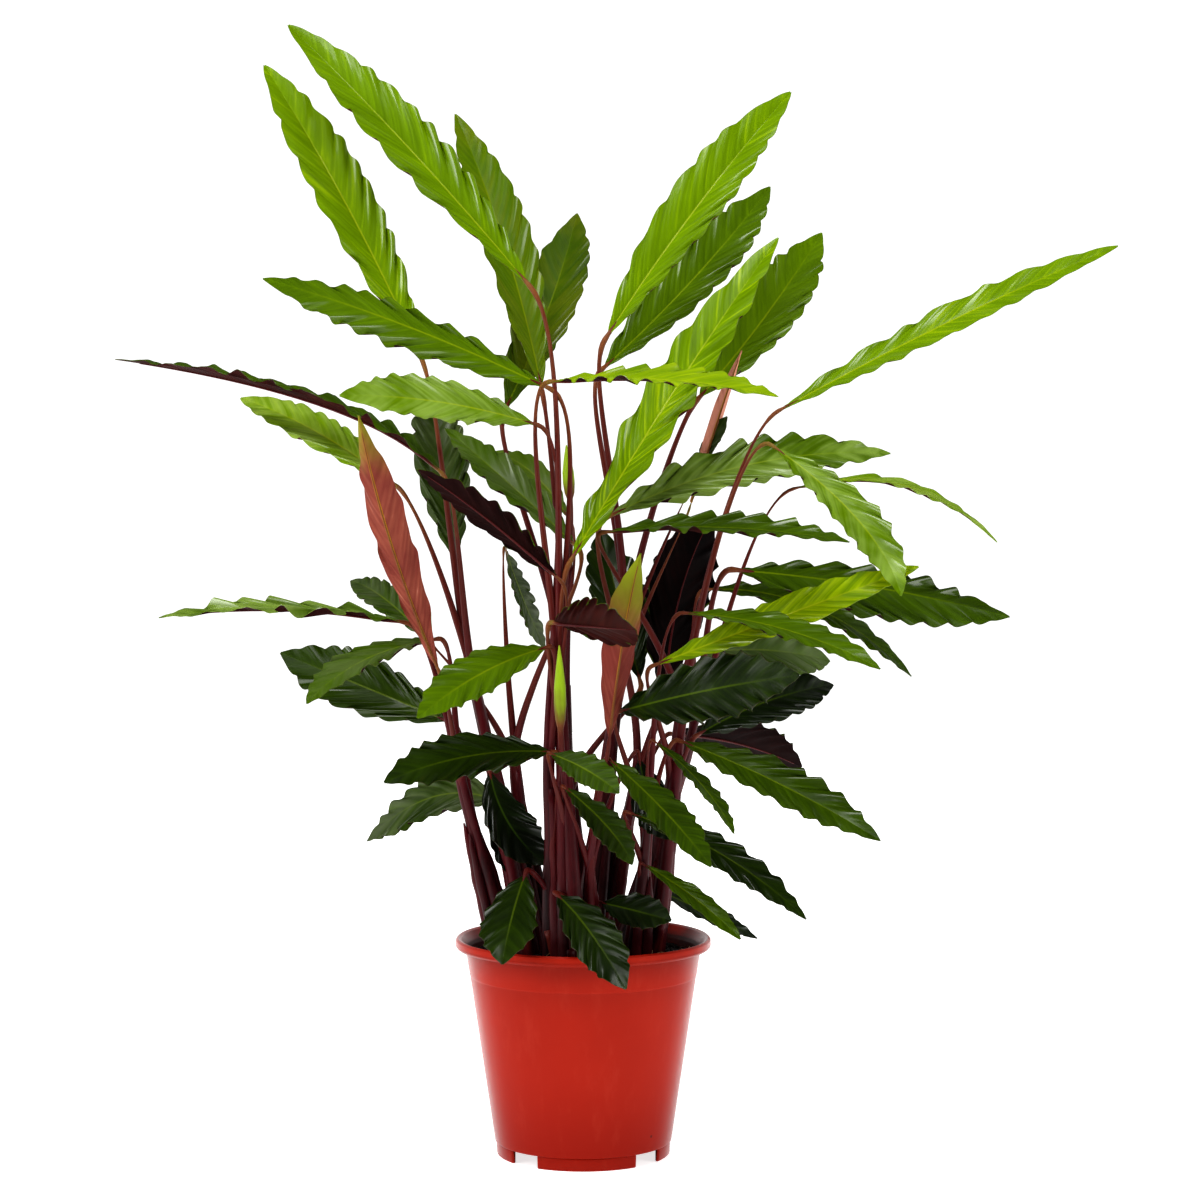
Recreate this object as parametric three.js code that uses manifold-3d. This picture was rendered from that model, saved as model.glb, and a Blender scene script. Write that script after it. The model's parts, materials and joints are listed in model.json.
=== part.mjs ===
// Potted prayer plant with long wavy leaves, in a round nursery pot.
// Millimetres, Z up. The origin is on the floor, on the axis of the pot. The front looks along -Y.
import * as THREE from "three";
import { mergeVertices } from "three/addons/utils/BufferGeometryUtils.js";
import Module from "manifold-3d";

const wasm = await Module();
wasm.setup();

// Pot
const POT_HEIGHT = 182;
const RIM_RADIUS = 107;
const LIP_HEIGHT = 9;
const BODY_TOP_RADIUS = 98.5;
const BAND_HEIGHT = 22; // the slightly wider band under the lip
const BAND_STEP = 0.7;
const FOOT_RADIUS = 72.5;
const FOOT_HEIGHT = 10.5;
const FOOT_WALL = 3;
const POT_WALL = 1.8;
const FLOOR_THICKNESS = 2;
const FOOT_GAP_WIDTH = 27;
const FOOT_GAP_ANGLES = [-42, 48, 138, 228]; // from the front, towards +X
const DRAIN_HOLES = 5;
const DRAIN_RADIUS = 5;
const DRAIN_CIRCLE = 44;
const POT_SIDES = 40;

// Soil and the crowns that the stems stand on
const SOIL_TOP = 168;
const SOIL_EDGE_DROP = 2;
const TOUCHING_GAP = 0.35;
const CROWN_RADIUS = 24;
const CROWN_HEIGHT = 16;
const CROWN_SIDES = 12;
const CROWN_DROP = 1; // how far the crown's top lies below the soil's
const HOLE_CLEARANCE = 0.6;
const STEM_CIRCLE = 14; // the circle that a clump's three stems stand on

// Stems and leaf stalks
const STEM_RADIUS = 6.5;
const STEM_TOP_RADIUS = 4.2;
const STEM_SHARE = 0.58; // of the mean height of a stem's leaf joints
const STEM_SIDES = 6;
const STEM_STEPS = 4;
const STALK_RADIUS = 3.5;
const STALK_END_RADIUS = 2;
const STALK_SIDES = 5;
const STALK_STEPS = 5;
const STALK_GAP = 0.4; // between a stalk's end and its blade
const STALK_NECK = 5; // the straight end of a stalk, in line with its blade
const SHOOT_RADIUS = 5;

// Leaf blades
const BLADE_THICKNESS = 0.95;
const BLADE_BASE_WIDTH = 3.4;
const BLADE_TIP_WIDTH = 1.4;
const WAVE_LENGTH = 31;
const WAVE_HEIGHT = { lime: 2.7, fresh: 3.5, dark: 4.2, young: 1.5 }; // of the edge, each way
const WIDE_BLADE = 50; // the blade width that has the full wave
const VEIN_SLANT = 0.5; // how far an edge runs ahead of the midrib, per half width
const WAVE_FADE = { lime: 0.85, fresh: 0.7, dark: 0.55, young: 0.8 }; // towards the tip
const TIP_START = 0.6; // where a blade begins to narrow to its point
const TIP_TAPER = { lime: 0, fresh: 0.2, dark: 0.25, young: 0.3 };

// A leaf's places are given as they are seen from in front of the plant, at eye height:
// across and up in the plane of the pot's axis, and then the true depth along Y.
const EYE = new THREE.Vector3(14, -2405, 566);

const CLUMPS = [
  { name: "left", centre: [-46, -4], firstAngle: 180, stems: ["a", "b", "c"] },
  { name: "front", centre: [-6, -46], firstAngle: 150, stems: ["d", "e", "f"] },
  { name: "back", centre: [2, 40], firstAngle: 150, stems: ["g", "h", "i"] },
  { name: "right", centre: [44, -2], firstAngle: 30, stems: ["j", "k", "l"] },
];

// Per blade: joint, middle and tip of its midrib, width, tilt of the upper face from the viewer
// and fold of each half towards that face, both in degrees, and kind. A tilt over 90 shows the
// purple underside.
const LEAVES = {
  a: [
    [[-122, 408, -36], [-161, 514, -51], [-187, 618, -66], 38, 165, 35, "young"],
    [[-125, 431, -8], [-184, 413, -59], [-231, 377, -110], 38, 60, 10, "fresh"],
    [[-114, 363, 20], [-182, 391, 50], [-253, 420, 80], 54, 30, 5, "dark"],
    [[-153, 446, 10], [-253, 456, -25], [-354, 449, -60], 38, 80, 12, "fresh"],
  ],
  b: [
    [[-137, 671, 50], [-198, 795, 85], [-264, 907, 120], 52, 25, 18, "lime"],
    [[-120, 572, -10], [-219, 627, 65], [-389, 664, 140], 40, 102, 12, "dark"],
    [[-158, 561, 38], [-222, 604, 94], [-285, 632, 150], 38, 40, 10, "lime"],
    [[-107, 498, 70], [-118, 573, 135], [-128, 648, 200], 48, 15, 14, "dark"],
  ],
  c: [
    [[-134, 435, 30], [-167, 466, 100], [-194, 480, 170], 28, 30, 10, "dark"],
    [[-69, 295, 40], [-126, 299, 85], [-181, 262, 130], 44, 50, 0, "dark"],
    [[-64, 504, 50], [-49, 462, 115], [-31, 421, 180], 22, 50, 10, "dark"],
    [[-8, 511, 0], [-62, 561, 38], [-115, 607, 75], 38, 45, 12, "dark"],
  ],
  d: [
    [[-32, 424, -60], [-86, 402, -120], [-139, 365, -180], 40, 30, 12, "fresh"],
    [[-27, 337, -62], [-97, 333, -106], [-167, 311, -150], 44, 42, 5, "dark"],
    [[-23, 484, -58], [-80, 532, -94], [-138, 573, -130], 32, 140, 12, "dark"],
    [[-42, 611, -25], [-122, 629, -88], [-203, 634, -150], 42, 35, 12, "fresh"],
    [[-49, 233, -60], [-60, 197, -95], [-68, 158, -130], 46, 15, 12, "dark"],
  ],
  e: [
    [[-47, 728, 20], [-145, 839, 55], [-244, 940, 90], 54, 30, 22, "lime"],
    [[-32, 642, -5], [-150, 693, -52], [-266, 731, -100], 46, 42, -8, "fresh"],
    [[-9, 499, -30], [74, 635, 15], [162, 765, 60], 45, 30, 12, "lime"],
    [[-24, 646, -30], [68, 647, -110], [162, 633, -190], 40, 70, 12, "fresh"],
    [[-24, 445, -60], [10, 442, -115], [44, 439, -170], 48, 138, 12, "dark"],
    [[-26, 335, -84], [4, 321, -147], [30, 302, -210], 28, 35, 12, "fresh"],
  ],
  f: [
    [[22, 349, -63], [34, 435, -74], [48, 503, -84], 40, 170, 45, "young"],
    [[24, 329, -60], [70, 285, -130], [107, 240, -200], 30, 25, 12, "fresh"],
    [[-14, 306, -70], [21, 273, -135], [41, 242, -200], 26, 25, 12, "fresh"],
    [[-21, 216, -74], [6, 185, -117], [36, 137, -160], 40, 15, 12, "dark"],
    [[16, 210, -45], [45, 203, -78], [74, 195, -110], 30, 30, 12, "dark"],
  ],
  g: [
    [[-35, 642, 50], [-65, 758, 100], [-106, 867, 150], 52, 30, 16, "fresh"],
    [[-64, 624, 90], [-28, 708, 163], [-5, 785, 236], 58, 25, 10, "dark"],
    [[47, 398, 50], [30, 460, 100], [14, 523, 150], 50, 20, 12, "dark"],
  ],
  h: [
    [[21, 685, 40], [93, 788, 75], [172, 885, 110], 53, 25, 20, "lime"],
    [[18, 658, 75], [92, 731, 156], [155, 807, 236], 54, 25, 16, "fresh"],
    [[97, 633, 70], [150, 698, 152], [198, 769, 234], 56, 20, 14, "dark"],
    [[90, 545, 60], [114, 620, 59], [132, 672, 58], 15, 160, 45, "young"],
  ],
  i: [
    [[24, 535, 12], [140, 577, 44], [256, 586, 75], 46, 40, 8, "dark"],
    [[68, 389, 30], [81, 470, 70], [108, 535, 110], 60, 165, 12, "dark"],
    [[97, 419, 40], [152, 422, 120], [206, 413, 200], 50, 35, 12, "dark"],
    [[76, 352, 32], [130, 344, 91], [183, 324, 150], 46, 150, 12, "dark"],
  ],
  j: [
    [[167, 624, 0], [306, 696, -70], [444, 758, -140], 32, 43, 12, "lime"],
    [[161, 590, -15], [231, 528, -72], [265, 467, -130], 38, 30, 12, "fresh"],
    [[21, 521, -20], [122, 524, -70], [222, 512, -120], 40, 70, 12, "fresh"],
    [[63, 411, -58], [171, 452, -74], [280, 492, -90], 32, 35, 8, "lime"],
  ],
  k: [
    [[180, 558, 48], [268, 559, 39], [345, 512, 30], 30, 82, 12, "lime"],
    [[129, 489, 5], [242, 475, 32], [356, 450, 60], 54, 40, -16, "dark"],
    [[107, 473, 42], [196, 456, 73], [274, 400, 104], 28, 50, 10, "dark"],
    [[97, 352, -15], [153, 379, 52], [209, 393, 120], 44, 30, 12, "dark"],
  ],
  l: [
    [[31, 371, -50], [106, 389, -140], [181, 401, -230], 52, 20, 6, "dark"],
    [[88, 453, -55], [169, 439, -112], [248, 406, -170], 34, 60, 12, "fresh"],
    [[84, 345, -25], [166, 309, -78], [249, 262, -130], 40, 40, 10, "dark"],
    [[62, 344, -52], [100, 308, -106], [126, 268, -160], 20, 60, 10, "fresh"],
    [[41, 285, -50], [117, 250, -80], [187, 196, -110], 30, 40, 8, "dark"],
    [[53, 241, -42], [93, 214, -71], [132, 179, -100], 20, 45, 10, "lime"],
    [[53, 225, 20], [94, 206, 45], [146, 180, 70], 22, 55, 10, "dark"],
  ],
};

// Shoots that are still rolled into a spike, per stem: base and tip.
const SHOOTS = {
  e: [[-19, 356, -62], [-20, 426, -64]],
  g: [[-11, 548, 12], [-14, 593, 14]],
};

const materials = {
  pot: new THREE.MeshStandardMaterial({ color: 0xc0392b, roughness: 0.45 }),
  soil: new THREE.MeshStandardMaterial({ color: 0x2e2119, roughness: 1 }),
  stalk: new THREE.MeshStandardMaterial({ color: 0x5e2233, roughness: 0.55 }),
  lime: new THREE.MeshStandardMaterial({ color: 0x8cbf2a, roughness: 0.4, side: THREE.DoubleSide }),
  fresh: new THREE.MeshStandardMaterial({ color: 0x4f8f2f, roughness: 0.4, side: THREE.DoubleSide }),
  dark: new THREE.MeshStandardMaterial({ color: 0x274a25, roughness: 0.4, side: THREE.DoubleSide }),
  young: new THREE.MeshStandardMaterial({ color: 0xb06a58, roughness: 0.5, side: THREE.DoubleSide }),
};

const radians = THREE.MathUtils.degToRad;

function seen([across, up, depth]) {
  const spread = (depth - EYE.y) / -EYE.y;
  return new THREE.Vector3(
    EYE.x + (across - EYE.x) * spread,
    depth,
    EYE.z + (up - EYE.z) * spread,
  );
}

function onCircle([x, y], radius, degrees, z = 0) {
  const angle = radians(degrees);
  return new THREE.Vector3(x + radius * Math.cos(angle), y + radius * Math.sin(angle), z);
}

// Solids
function solid(geometry) {
  geometry.deleteAttribute("normal");
  geometry.deleteAttribute("uv");
  const merged = mergeVertices(geometry, 1e-4);
  const kept = [];
  const index = merged.index.array;
  for (let i = 0; i < index.length; i += 3) {
    const [a, b, c] = index.slice(i, i + 3);
    if (a !== b && b !== c && c !== a) kept.push(a, b, c);
  }
  return new wasm.Manifold(
    new wasm.Mesh({
      numProp: 3,
      vertProperties: merged.getAttribute("position").array,
      triVerts: new Uint32Array(kept),
    }),
  );
}

function meshOf(body, name, material) {
  const { vertProperties, triVerts } = body.getMesh();
  const geometry = new THREE.BufferGeometry();
  geometry.setAttribute("position", new THREE.BufferAttribute(vertProperties, 3));
  geometry.setIndex(new THREE.BufferAttribute(triVerts, 1));
  geometry.computeVertexNormals();
  const mesh = new THREE.Mesh(geometry, material);
  mesh.name = name;
  return mesh;
}

function closedSurface(points, faces) {
  const geometry = new THREE.BufferGeometry().setFromPoints(points);
  geometry.setIndex(faces.flat());
  return geometry;
}

function turned(profile, sides) {
  const points = profile.map(([radius, height]) => new THREE.Vector2(radius, height));
  return new THREE.LatheGeometry(points, sides).rotateX(Math.PI / 2);
}

function post(x, y, bottom, height, radius, sides) {
  const geometry = new THREE.CylinderGeometry(radius, radius, height, sides);
  return geometry.rotateX(Math.PI / 2).translate(x, y, bottom + height / 2);
}

// A closed tube through the points, with a radius for each.
function tube(points, radii, sides) {
  const rings = [];
  const across = new THREE.Vector3(1, 0, 0);
  points.forEach((point, i) => {
    const ahead = points[Math.min(i + 1, points.length - 1)];
    const behind = points[Math.max(i - 1, 0)];
    const along = ahead.clone().sub(behind).normalize();
    across.addScaledVector(along, -across.dot(along)).normalize();
    const third = along.clone().cross(across);
    for (let k = 0; k < sides; k += 1) {
      const angle = (2 * Math.PI * k) / sides;
      const ring = point.clone().addScaledVector(across, radii[i] * Math.cos(angle));
      rings.push(ring.addScaledVector(third, radii[i] * Math.sin(angle)));
    }
  });
  const faces = [];
  const last = (points.length - 1) * sides;
  for (let k = 0; k < sides; k += 1) {
    const next = (k + 1) % sides;
    for (let i = 0; i < last; i += sides) {
      faces.push([i + k, i + next, i + sides + next], [i + k, i + sides + next, i + sides + k]);
    }
    if (k > 1) faces.push([0, k, k - 1], [last, last + k - 1, last + k]);
  }
  return closedSurface(rings, faces);
}

// Pot: a turned shell on a foot ring with four gaps, and drain holes in its floor
function wallRadius(height) {
  const share = (height - FOOT_HEIGHT) / (POT_HEIGHT - LIP_HEIGHT - FOOT_HEIGHT);
  return THREE.MathUtils.lerp(FOOT_RADIUS + 1.5, BODY_TOP_RADIUS, share);
}

function makePot() {
  const lipBottom = POT_HEIGHT - LIP_HEIGHT;
  const bandBottom = lipBottom - BAND_HEIGHT;
  const floorTop = FOOT_HEIGHT + FLOOR_THICKNESS;
  const shell = solid(
    turned(
      [
        [0, FOOT_HEIGHT],
        [FOOT_RADIUS - FOOT_WALL, FOOT_HEIGHT],
        [FOOT_RADIUS - FOOT_WALL, 0],
        [FOOT_RADIUS, 0],
        [FOOT_RADIUS + 0.6, FOOT_HEIGHT],
        [wallRadius(floorTop), floorTop],
        [wallRadius(bandBottom) - BAND_STEP, bandBottom - 1],
        [wallRadius(bandBottom), bandBottom],
        [BODY_TOP_RADIUS, lipBottom],
        [RIM_RADIUS - 1, lipBottom + 1],
        [RIM_RADIUS, lipBottom + 3],
        [RIM_RADIUS - 0.5, POT_HEIGHT - 1],
        [RIM_RADIUS - 2, POT_HEIGHT],
        [RIM_RADIUS - 5, POT_HEIGHT - 1.5],
        [BODY_TOP_RADIUS - POT_WALL, lipBottom - 2],
        [wallRadius(floorTop) - POT_WALL, floorTop],
        [0, floorTop],
      ],
      POT_SIDES,
    ),
  );
  const cuts = FOOT_GAP_ANGLES.map((degrees) => {
    const box = new THREE.BoxGeometry(FOOT_GAP_WIDTH, 8 * FOOT_WALL, 2 * FOOT_HEIGHT);
    return solid(box.translate(0, -FOOT_RADIUS, 0).rotateZ(radians(degrees)));
  });
  for (let k = 0; k < DRAIN_HOLES; k += 1) {
    const { x, y } = onCircle([0, 0], DRAIN_CIRCLE, (360 * k) / DRAIN_HOLES);
    cuts.push(solid(post(x, y, FOOT_HEIGHT - 1, FLOOR_THICKNESS + 2, DRAIN_RADIUS, 10)));
  }
  return meshOf(wasm.Manifold.difference([shell, ...cuts]), "pot", materials.pot);
}

// Soil: it fills the pot, with a plain round hole for each crown
function makeSoil() {
  const bottom = FOOT_HEIGHT + FLOOR_THICKNESS + TOUCHING_GAP;
  const edge = SOIL_TOP - SOIL_EDGE_DROP;
  const inset = POT_WALL + TOUCHING_GAP + BAND_STEP;
  const fill = solid(
    turned(
      [[0, bottom], [wallRadius(bottom) - inset, bottom], [wallRadius(edge) - inset, edge], [0, SOIL_TOP]],
      POT_SIDES,
    ),
  );
  const holes = CLUMPS.map(({ centre: [x, y] }) => {
    const depth = CROWN_HEIGHT + CROWN_DROP + TOUCHING_GAP;
    const radius = CROWN_RADIUS + HOLE_CLEARANCE;
    return solid(post(x, y, SOIL_TOP - depth, depth + 1, radius, CROWN_SIDES));
  });
  return meshOf(wasm.Manifold.difference([fill, ...holes]), "soil", materials.soil);
}

// Blade: a row of left edge, midrib and right edge for each half wave, made into a thin solid
function midribOf([joint, middle, tip]) {
  const [start, halfway, end] = [joint, middle, tip].map(seen);
  const bend = halfway.multiplyScalar(2).addScaledVector(start, -0.5).addScaledVector(end, -0.5);
  return new THREE.QuadraticBezierCurve3(start, bend, end);
}

// The direction that the upper face looks in: turned from the viewer by the tilt, upper side up.
function faceOf(curve, tilt) {
  const along = curve.v2.clone().sub(curve.v0).normalize();
  const towardViewer = new THREE.Vector3(0, -1, 0);
  towardViewer.addScaledVector(along, -towardViewer.dot(along)).normalize();
  const upward = along.clone().cross(towardViewer);
  if (upward.z < 0) upward.negate();
  return towardViewer
    .multiplyScalar(Math.cos(radians(tilt)))
    .addScaledVector(upward, Math.sin(radians(tilt)));
}

// A blade's half width at a share of its length, as a part of its greatest.
function swellAt(s, kind) {
  const tipward = Math.max(0, (s - TIP_START) / (1 - TIP_START));
  const taper = Math.max(0, Math.cos((Math.PI / 2) * tipward)) ** TIP_TAPER[kind];
  return Math.max(0, Math.sin(Math.PI * s ** 1.02)) ** 0.68 * taper;
}

function makeBlade(name, row) {
  const [width, tilt, foldAngle, kind] = row.slice(3);
  const curve = midribOf(row);
  const face = faceOf(curve, tilt);
  const fold = radians(foldAngle);
  const wave = WAVE_HEIGHT[kind] * Math.min(width / WIDE_BLADE, 1.1);
  const steps = Math.max(6, Math.round(curve.getLength() / (WAVE_LENGTH / 2)));
  const middle = [];
  for (let i = 0; i <= steps; i += 1) {
    const s = i / steps;
    const along = curve.getTangentAt(s);
    const normal = face.clone().addScaledVector(along, -face.dot(along)).normalize();
    const side = along.clone().cross(normal);
    const least = (i === 0 ? BLADE_BASE_WIDTH : BLADE_TIP_WIDTH) / 2;
    const half = Math.max(least, (width / 2) * swellAt(s, kind));
    const rib = curve.getPointAt(s);
    const calm = 1 - WAVE_FADE[kind] * THREE.MathUtils.smoothstep(s, 0.5, 0.95);
    const lift = wave * calm * Math.min(1, (4 * half) / width - 0.2) * (i % 2 ? 1 : -1);
    for (const sign of [-1, 0, 1]) {
      const point = rib.clone();
      if (sign) {
        point.addScaledVector(side, sign * half * Math.cos(fold));
        point.addScaledVector(normal, half * Math.sin(fold));
        if (i > 0 && i < steps) {
          point.addScaledVector(normal, sign * lift);
          point.addScaledVector(along, VEIN_SLANT * half * (1 - s ** 4));
        }
      }
      middle.push(point);
    }
  }
  return meshOf(solid(thickened(middle, steps)), name, materials[kind]);
}

// Gives rows of three points a thickness, with both faces split into triangles alike.
function thickened(middle, steps) {
  const upper = [];
  for (let i = 0; i < 3 * steps; i += 3) {
    for (const k of [i, i + 1]) {
      upper.push([k, k + 1, k + 4], [k, k + 4, k + 3]);
    }
  }
  const sheet = closedSurface(middle, upper);
  sheet.computeVertexNormals();
  const normals = sheet.getAttribute("normal");
  const points = [1, -1].flatMap((sign) =>
    middle.map((point, i) => {
      const normal = new THREE.Vector3().fromBufferAttribute(normals, i);
      return point.clone().addScaledVector(normal, (sign * BLADE_THICKNESS) / 2);
    }),
  );
  const under = middle.length;
  const faces = upper.flatMap(([a, b, c]) => [[a, b, c], [a + under, c + under, b + under]]);
  const outline = [];
  for (let i = 0; i <= steps; i += 1) outline.push(3 * i + 2);
  outline.push(3 * steps + 1);
  for (let i = steps; i >= 0; i -= 1) outline.push(3 * i);
  outline.push(1);
  outline.forEach((a, i) => {
    const b = outline[(i + 1) % outline.length];
    faces.push([b, a, a + under], [b, a + under, b + under]);
  });
  return closedSurface(points, faces);
}

// Stems and stalks
function stemOf(clump, letter) {
  const order = clump.stems.indexOf(letter);
  const foot = onCircle(
    clump.centre,
    STEM_CIRCLE,
    clump.firstAngle + 120 * order,
    SOIL_TOP - CROWN_DROP - CROWN_HEIGHT / 2,
  );
  const joints = LEAVES[letter].map(([joint]) => seen(joint));
  const mean = new THREE.Vector3();
  joints.forEach((joint) => mean.addScaledVector(joint, 1 / joints.length));
  const top = foot.clone().lerp(mean, STEM_SHARE);
  return { foot, top };
}

function stalkPath({ foot, top }, end, endDirection) {
  const share = (0.55 * (end.z - foot.z)) / (top.z - foot.z);
  const start = foot.clone().lerp(top, THREE.MathUtils.clamp(share, 0.2, 0.97));
  const reach = start.distanceTo(end);
  const lean = top.clone().sub(foot).normalize();
  return new THREE.CubicBezierCurve3(
    start,
    start.clone().addScaledVector(lean, 0.35 * reach),
    end.clone().addScaledVector(endDirection, -0.15 * reach),
    end,
  );
}

function taper(from, to, steps) {
  return Array.from({ length: steps + 1 }, (_, i) => THREE.MathUtils.lerp(from, to, i / steps));
}

function makeStalks(clump) {
  const [x, y] = clump.centre;
  const crownBottom = SOIL_TOP - CROWN_DROP - CROWN_HEIGHT;
  const bodies = [solid(post(x, y, crownBottom, CROWN_HEIGHT, CROWN_RADIUS, CROWN_SIDES))];
  for (const letter of clump.stems) {
    const stem = stemOf(clump, letter);
    const axis = new THREE.LineCurve3(stem.foot, stem.top).getPoints(STEM_STEPS);
    bodies.push(solid(tube(axis, taper(STEM_RADIUS, STEM_TOP_RADIUS, STEM_STEPS), STEM_SIDES)));
    for (const row of LEAVES[letter]) {
      const direction = midribOf(row).getTangent(0);
      const end = seen(row[0]).addScaledVector(direction, -STALK_GAP);
      const neck = end.clone().addScaledVector(direction, -STALK_NECK);
      const points = stalkPath(stem, neck, direction).getPoints(STALK_STEPS);
      const radii = [...taper(STALK_RADIUS, STALK_END_RADIUS, STALK_STEPS), STALK_END_RADIUS];
      bodies.push(solid(tube([...points, end], radii, STALK_SIDES)));
    }
    if (SHOOTS[letter]) {
      const [base, tip] = SHOOTS[letter].map(seen);
      const direction = tip.clone().sub(base).normalize();
      const points = stalkPath(stem, base, direction).getPoints(STALK_STEPS);
      const spike = new THREE.LineCurve3(base, tip).getPoints(4).slice(1);
      const radii = [...taper(STALK_RADIUS, STALK_END_RADIUS, STALK_STEPS), SHOOT_RADIUS];
      radii.push(SHOOT_RADIUS, SHOOT_RADIUS / 2, BLADE_TIP_WIDTH / 2);
      bodies.push(solid(tube([...points, ...spike], radii, STALK_SIDES)));
    }
  }
  return meshOf(wasm.Manifold.union(bodies), "stalks_" + clump.name, materials.stalk);
}

// The whole plant
const plant = new THREE.Group();
plant.add(makePot(), makeSoil());
for (const clump of CLUMPS) plant.add(makeStalks(clump));
for (const [letter, rows] of Object.entries(LEAVES)) {
  rows.forEach((row, i) => plant.add(makeBlade(`blade_${letter}${i + 1}`, row)));
}

export default plant;
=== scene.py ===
# Potted prayer plant with long wavy leaves, in a round nursery pot.
# Metres, Z up. The origin is on the floor, on the axis of the pot. The front looks along -Y.
import json
import random
import types
from bisect import bisect
from math import copysign, cos, exp, hypot, pi, radians, sin, sqrt, tau

import bmesh
import bpy
from mathutils import Matrix, Vector, noise

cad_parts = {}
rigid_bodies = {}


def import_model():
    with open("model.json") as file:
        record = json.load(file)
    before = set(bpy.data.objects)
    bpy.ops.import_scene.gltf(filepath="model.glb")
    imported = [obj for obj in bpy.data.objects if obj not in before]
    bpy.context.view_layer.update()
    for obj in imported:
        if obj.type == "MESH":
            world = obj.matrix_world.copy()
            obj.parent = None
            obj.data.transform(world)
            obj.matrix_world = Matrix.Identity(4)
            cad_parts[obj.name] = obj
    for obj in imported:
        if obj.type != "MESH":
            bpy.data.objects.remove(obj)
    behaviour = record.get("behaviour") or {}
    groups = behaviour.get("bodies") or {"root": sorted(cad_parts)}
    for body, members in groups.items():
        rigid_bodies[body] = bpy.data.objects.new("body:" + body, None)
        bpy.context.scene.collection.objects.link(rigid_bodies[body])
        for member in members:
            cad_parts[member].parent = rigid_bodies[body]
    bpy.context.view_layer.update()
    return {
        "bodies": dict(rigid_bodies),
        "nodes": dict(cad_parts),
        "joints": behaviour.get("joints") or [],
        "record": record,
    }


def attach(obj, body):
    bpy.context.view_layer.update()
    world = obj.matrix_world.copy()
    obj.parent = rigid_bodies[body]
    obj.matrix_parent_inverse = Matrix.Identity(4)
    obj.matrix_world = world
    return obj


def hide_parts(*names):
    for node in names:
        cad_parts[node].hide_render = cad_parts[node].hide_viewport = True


MM = 0.001
UP = Vector((0, 0, 1))

# View
EYE = Vector((0.014, -2.405, 0.566))
AIM = Vector((0.014, 0, 0.464))
LENS = 86.6

# Pot
POT_HEIGHT = 182 * MM
RIM_RADIUS = 107 * MM
LIP_HEIGHT = 9 * MM
BODY_TOP_RADIUS = 98.5 * MM
BAND_HEIGHT = 22 * MM  # the slightly wider band under the lip
BAND_STEP = 0.7 * MM
FOOT_RADIUS = 72.5 * MM
FOOT_HEIGHT = 10.5 * MM
FOOT_WALL = 3 * MM
POT_WALL = 1.8 * MM
FLOOR_THICKNESS = 2 * MM
FOOT_GAP_WIDTH = 27 * MM
FOOT_GAP_ANGLES = (-42, 48, 138, 228)  # from the front, towards +X
DRAIN_HOLES = 5
DRAIN_RADIUS = 5 * MM
DRAIN_CIRCLE = 44 * MM
POT_STEPS = 160
WALL_ROUNDING = 0.35 * MM
FOOT_ROUNDING = 1.3 * MM
ROUNDED_ANGLE = 0.7  # foot edges sharper than this are rounded
SHADED_ANGLE = 0.6  # edges flatter than this are shaded smooth
LIP_BOTTOM = POT_HEIGHT - LIP_HEIGHT
BAND_BOTTOM = LIP_BOTTOM - BAND_HEIGHT
FLOOR_TOP = FOOT_HEIGHT + FLOOR_THICKNESS
BODY_FOOT_RADIUS = FOOT_RADIUS + 1.5 * MM

# Compost
SOIL_TOP = 168 * MM
SOIL_EDGE_DROP = 2 * MM
SOIL_LAYERS = ((2.6 * MM, 38, 3.0), (1.1 * MM, 130, 8.0))  # height, fineness and seed
SOIL_RINGS = 34
SOIL_STEPS = 110
MOUND_HEIGHT = 5 * MM  # around each clump
MOUND_RADIUS = 24 * MM
TOUCHING_GAP = 0.35 * MM
COMPOST_SEED = 11
CRUMBS = 1500
CRUMB_SIZES = (0.7, 0.9, 1.2, 1.6, 2.4)  # in millimetres
CRUMB_CIRCLE = 92  # in millimetres
ROOTS = 26
ROOT_STEPS = 8
ROOT_STRIDE = 3.2 * MM
ROOT_CIRCLE = 91 * MM
ROOT_SIDES = 5

# Stems and leaf stalks
CROWN_DROP = 1 * MM
CROWN_HEIGHT = 16 * MM
STEM_CIRCLE = 14 * MM
STEM_RADII = (6.5 * MM, 4.2 * MM)
STEM_SHARE = 0.58
STEM_STEPS = 12
STEM_SIDES = 14
STEM_TONES = (0.12, 0.24)
STALK_STEPS = 26
STALK_SIDES = 10
STALK_GAP = 0.4 * MM
STALK_NECK = 5 * MM
KNEE_LENGTH = 17 * MM  # the thicker joint below each blade
RIB_STEPS = 18
SHEATH_STEPS = 14
EASED_STEPS = 8  # where a stalk leaves its sheath
SHEATHS = 5  # old ones, at each stem
OLD_SHEATH_STEPS = 10
STUBS = 9  # at each clump
STUB_STEPS = 5
SHOOT_SIDES = 12
# Radii of a stalk in millimetres, from the soil up
SHEATH_RADII = (6.2, 4.9)
BARE_RADIUS = 4.1
STALK_RADIUS = 3.9
KNEE_PER_WIDTH = 0.04  # of the blade
KNEE_BULGE = 0.55
RIB_RADII = (1.15, 0.3)
# Tones of a stalk, from the soil up
FOOT_TONE = 0.1
STALK_TONE = 0.22
KNEE_TONES = (0.36, 0.64)  # low and high in the plant
KNEE_HEIGHTS = (0.2, 0.5)
# A rolled shoot: share of its length, radius in millimetres and tone
SPIKE = ((0.12, 4.2, 0.8), (0.3, 5, 0.92), (0.5, 4.8, 1), (0.75, 3, 1), (1, 0.6, 0.95))
SHOOT_RADII = (3.4, 2.4)
SHOOT_TONES = (0.2, 0.62)

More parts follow.
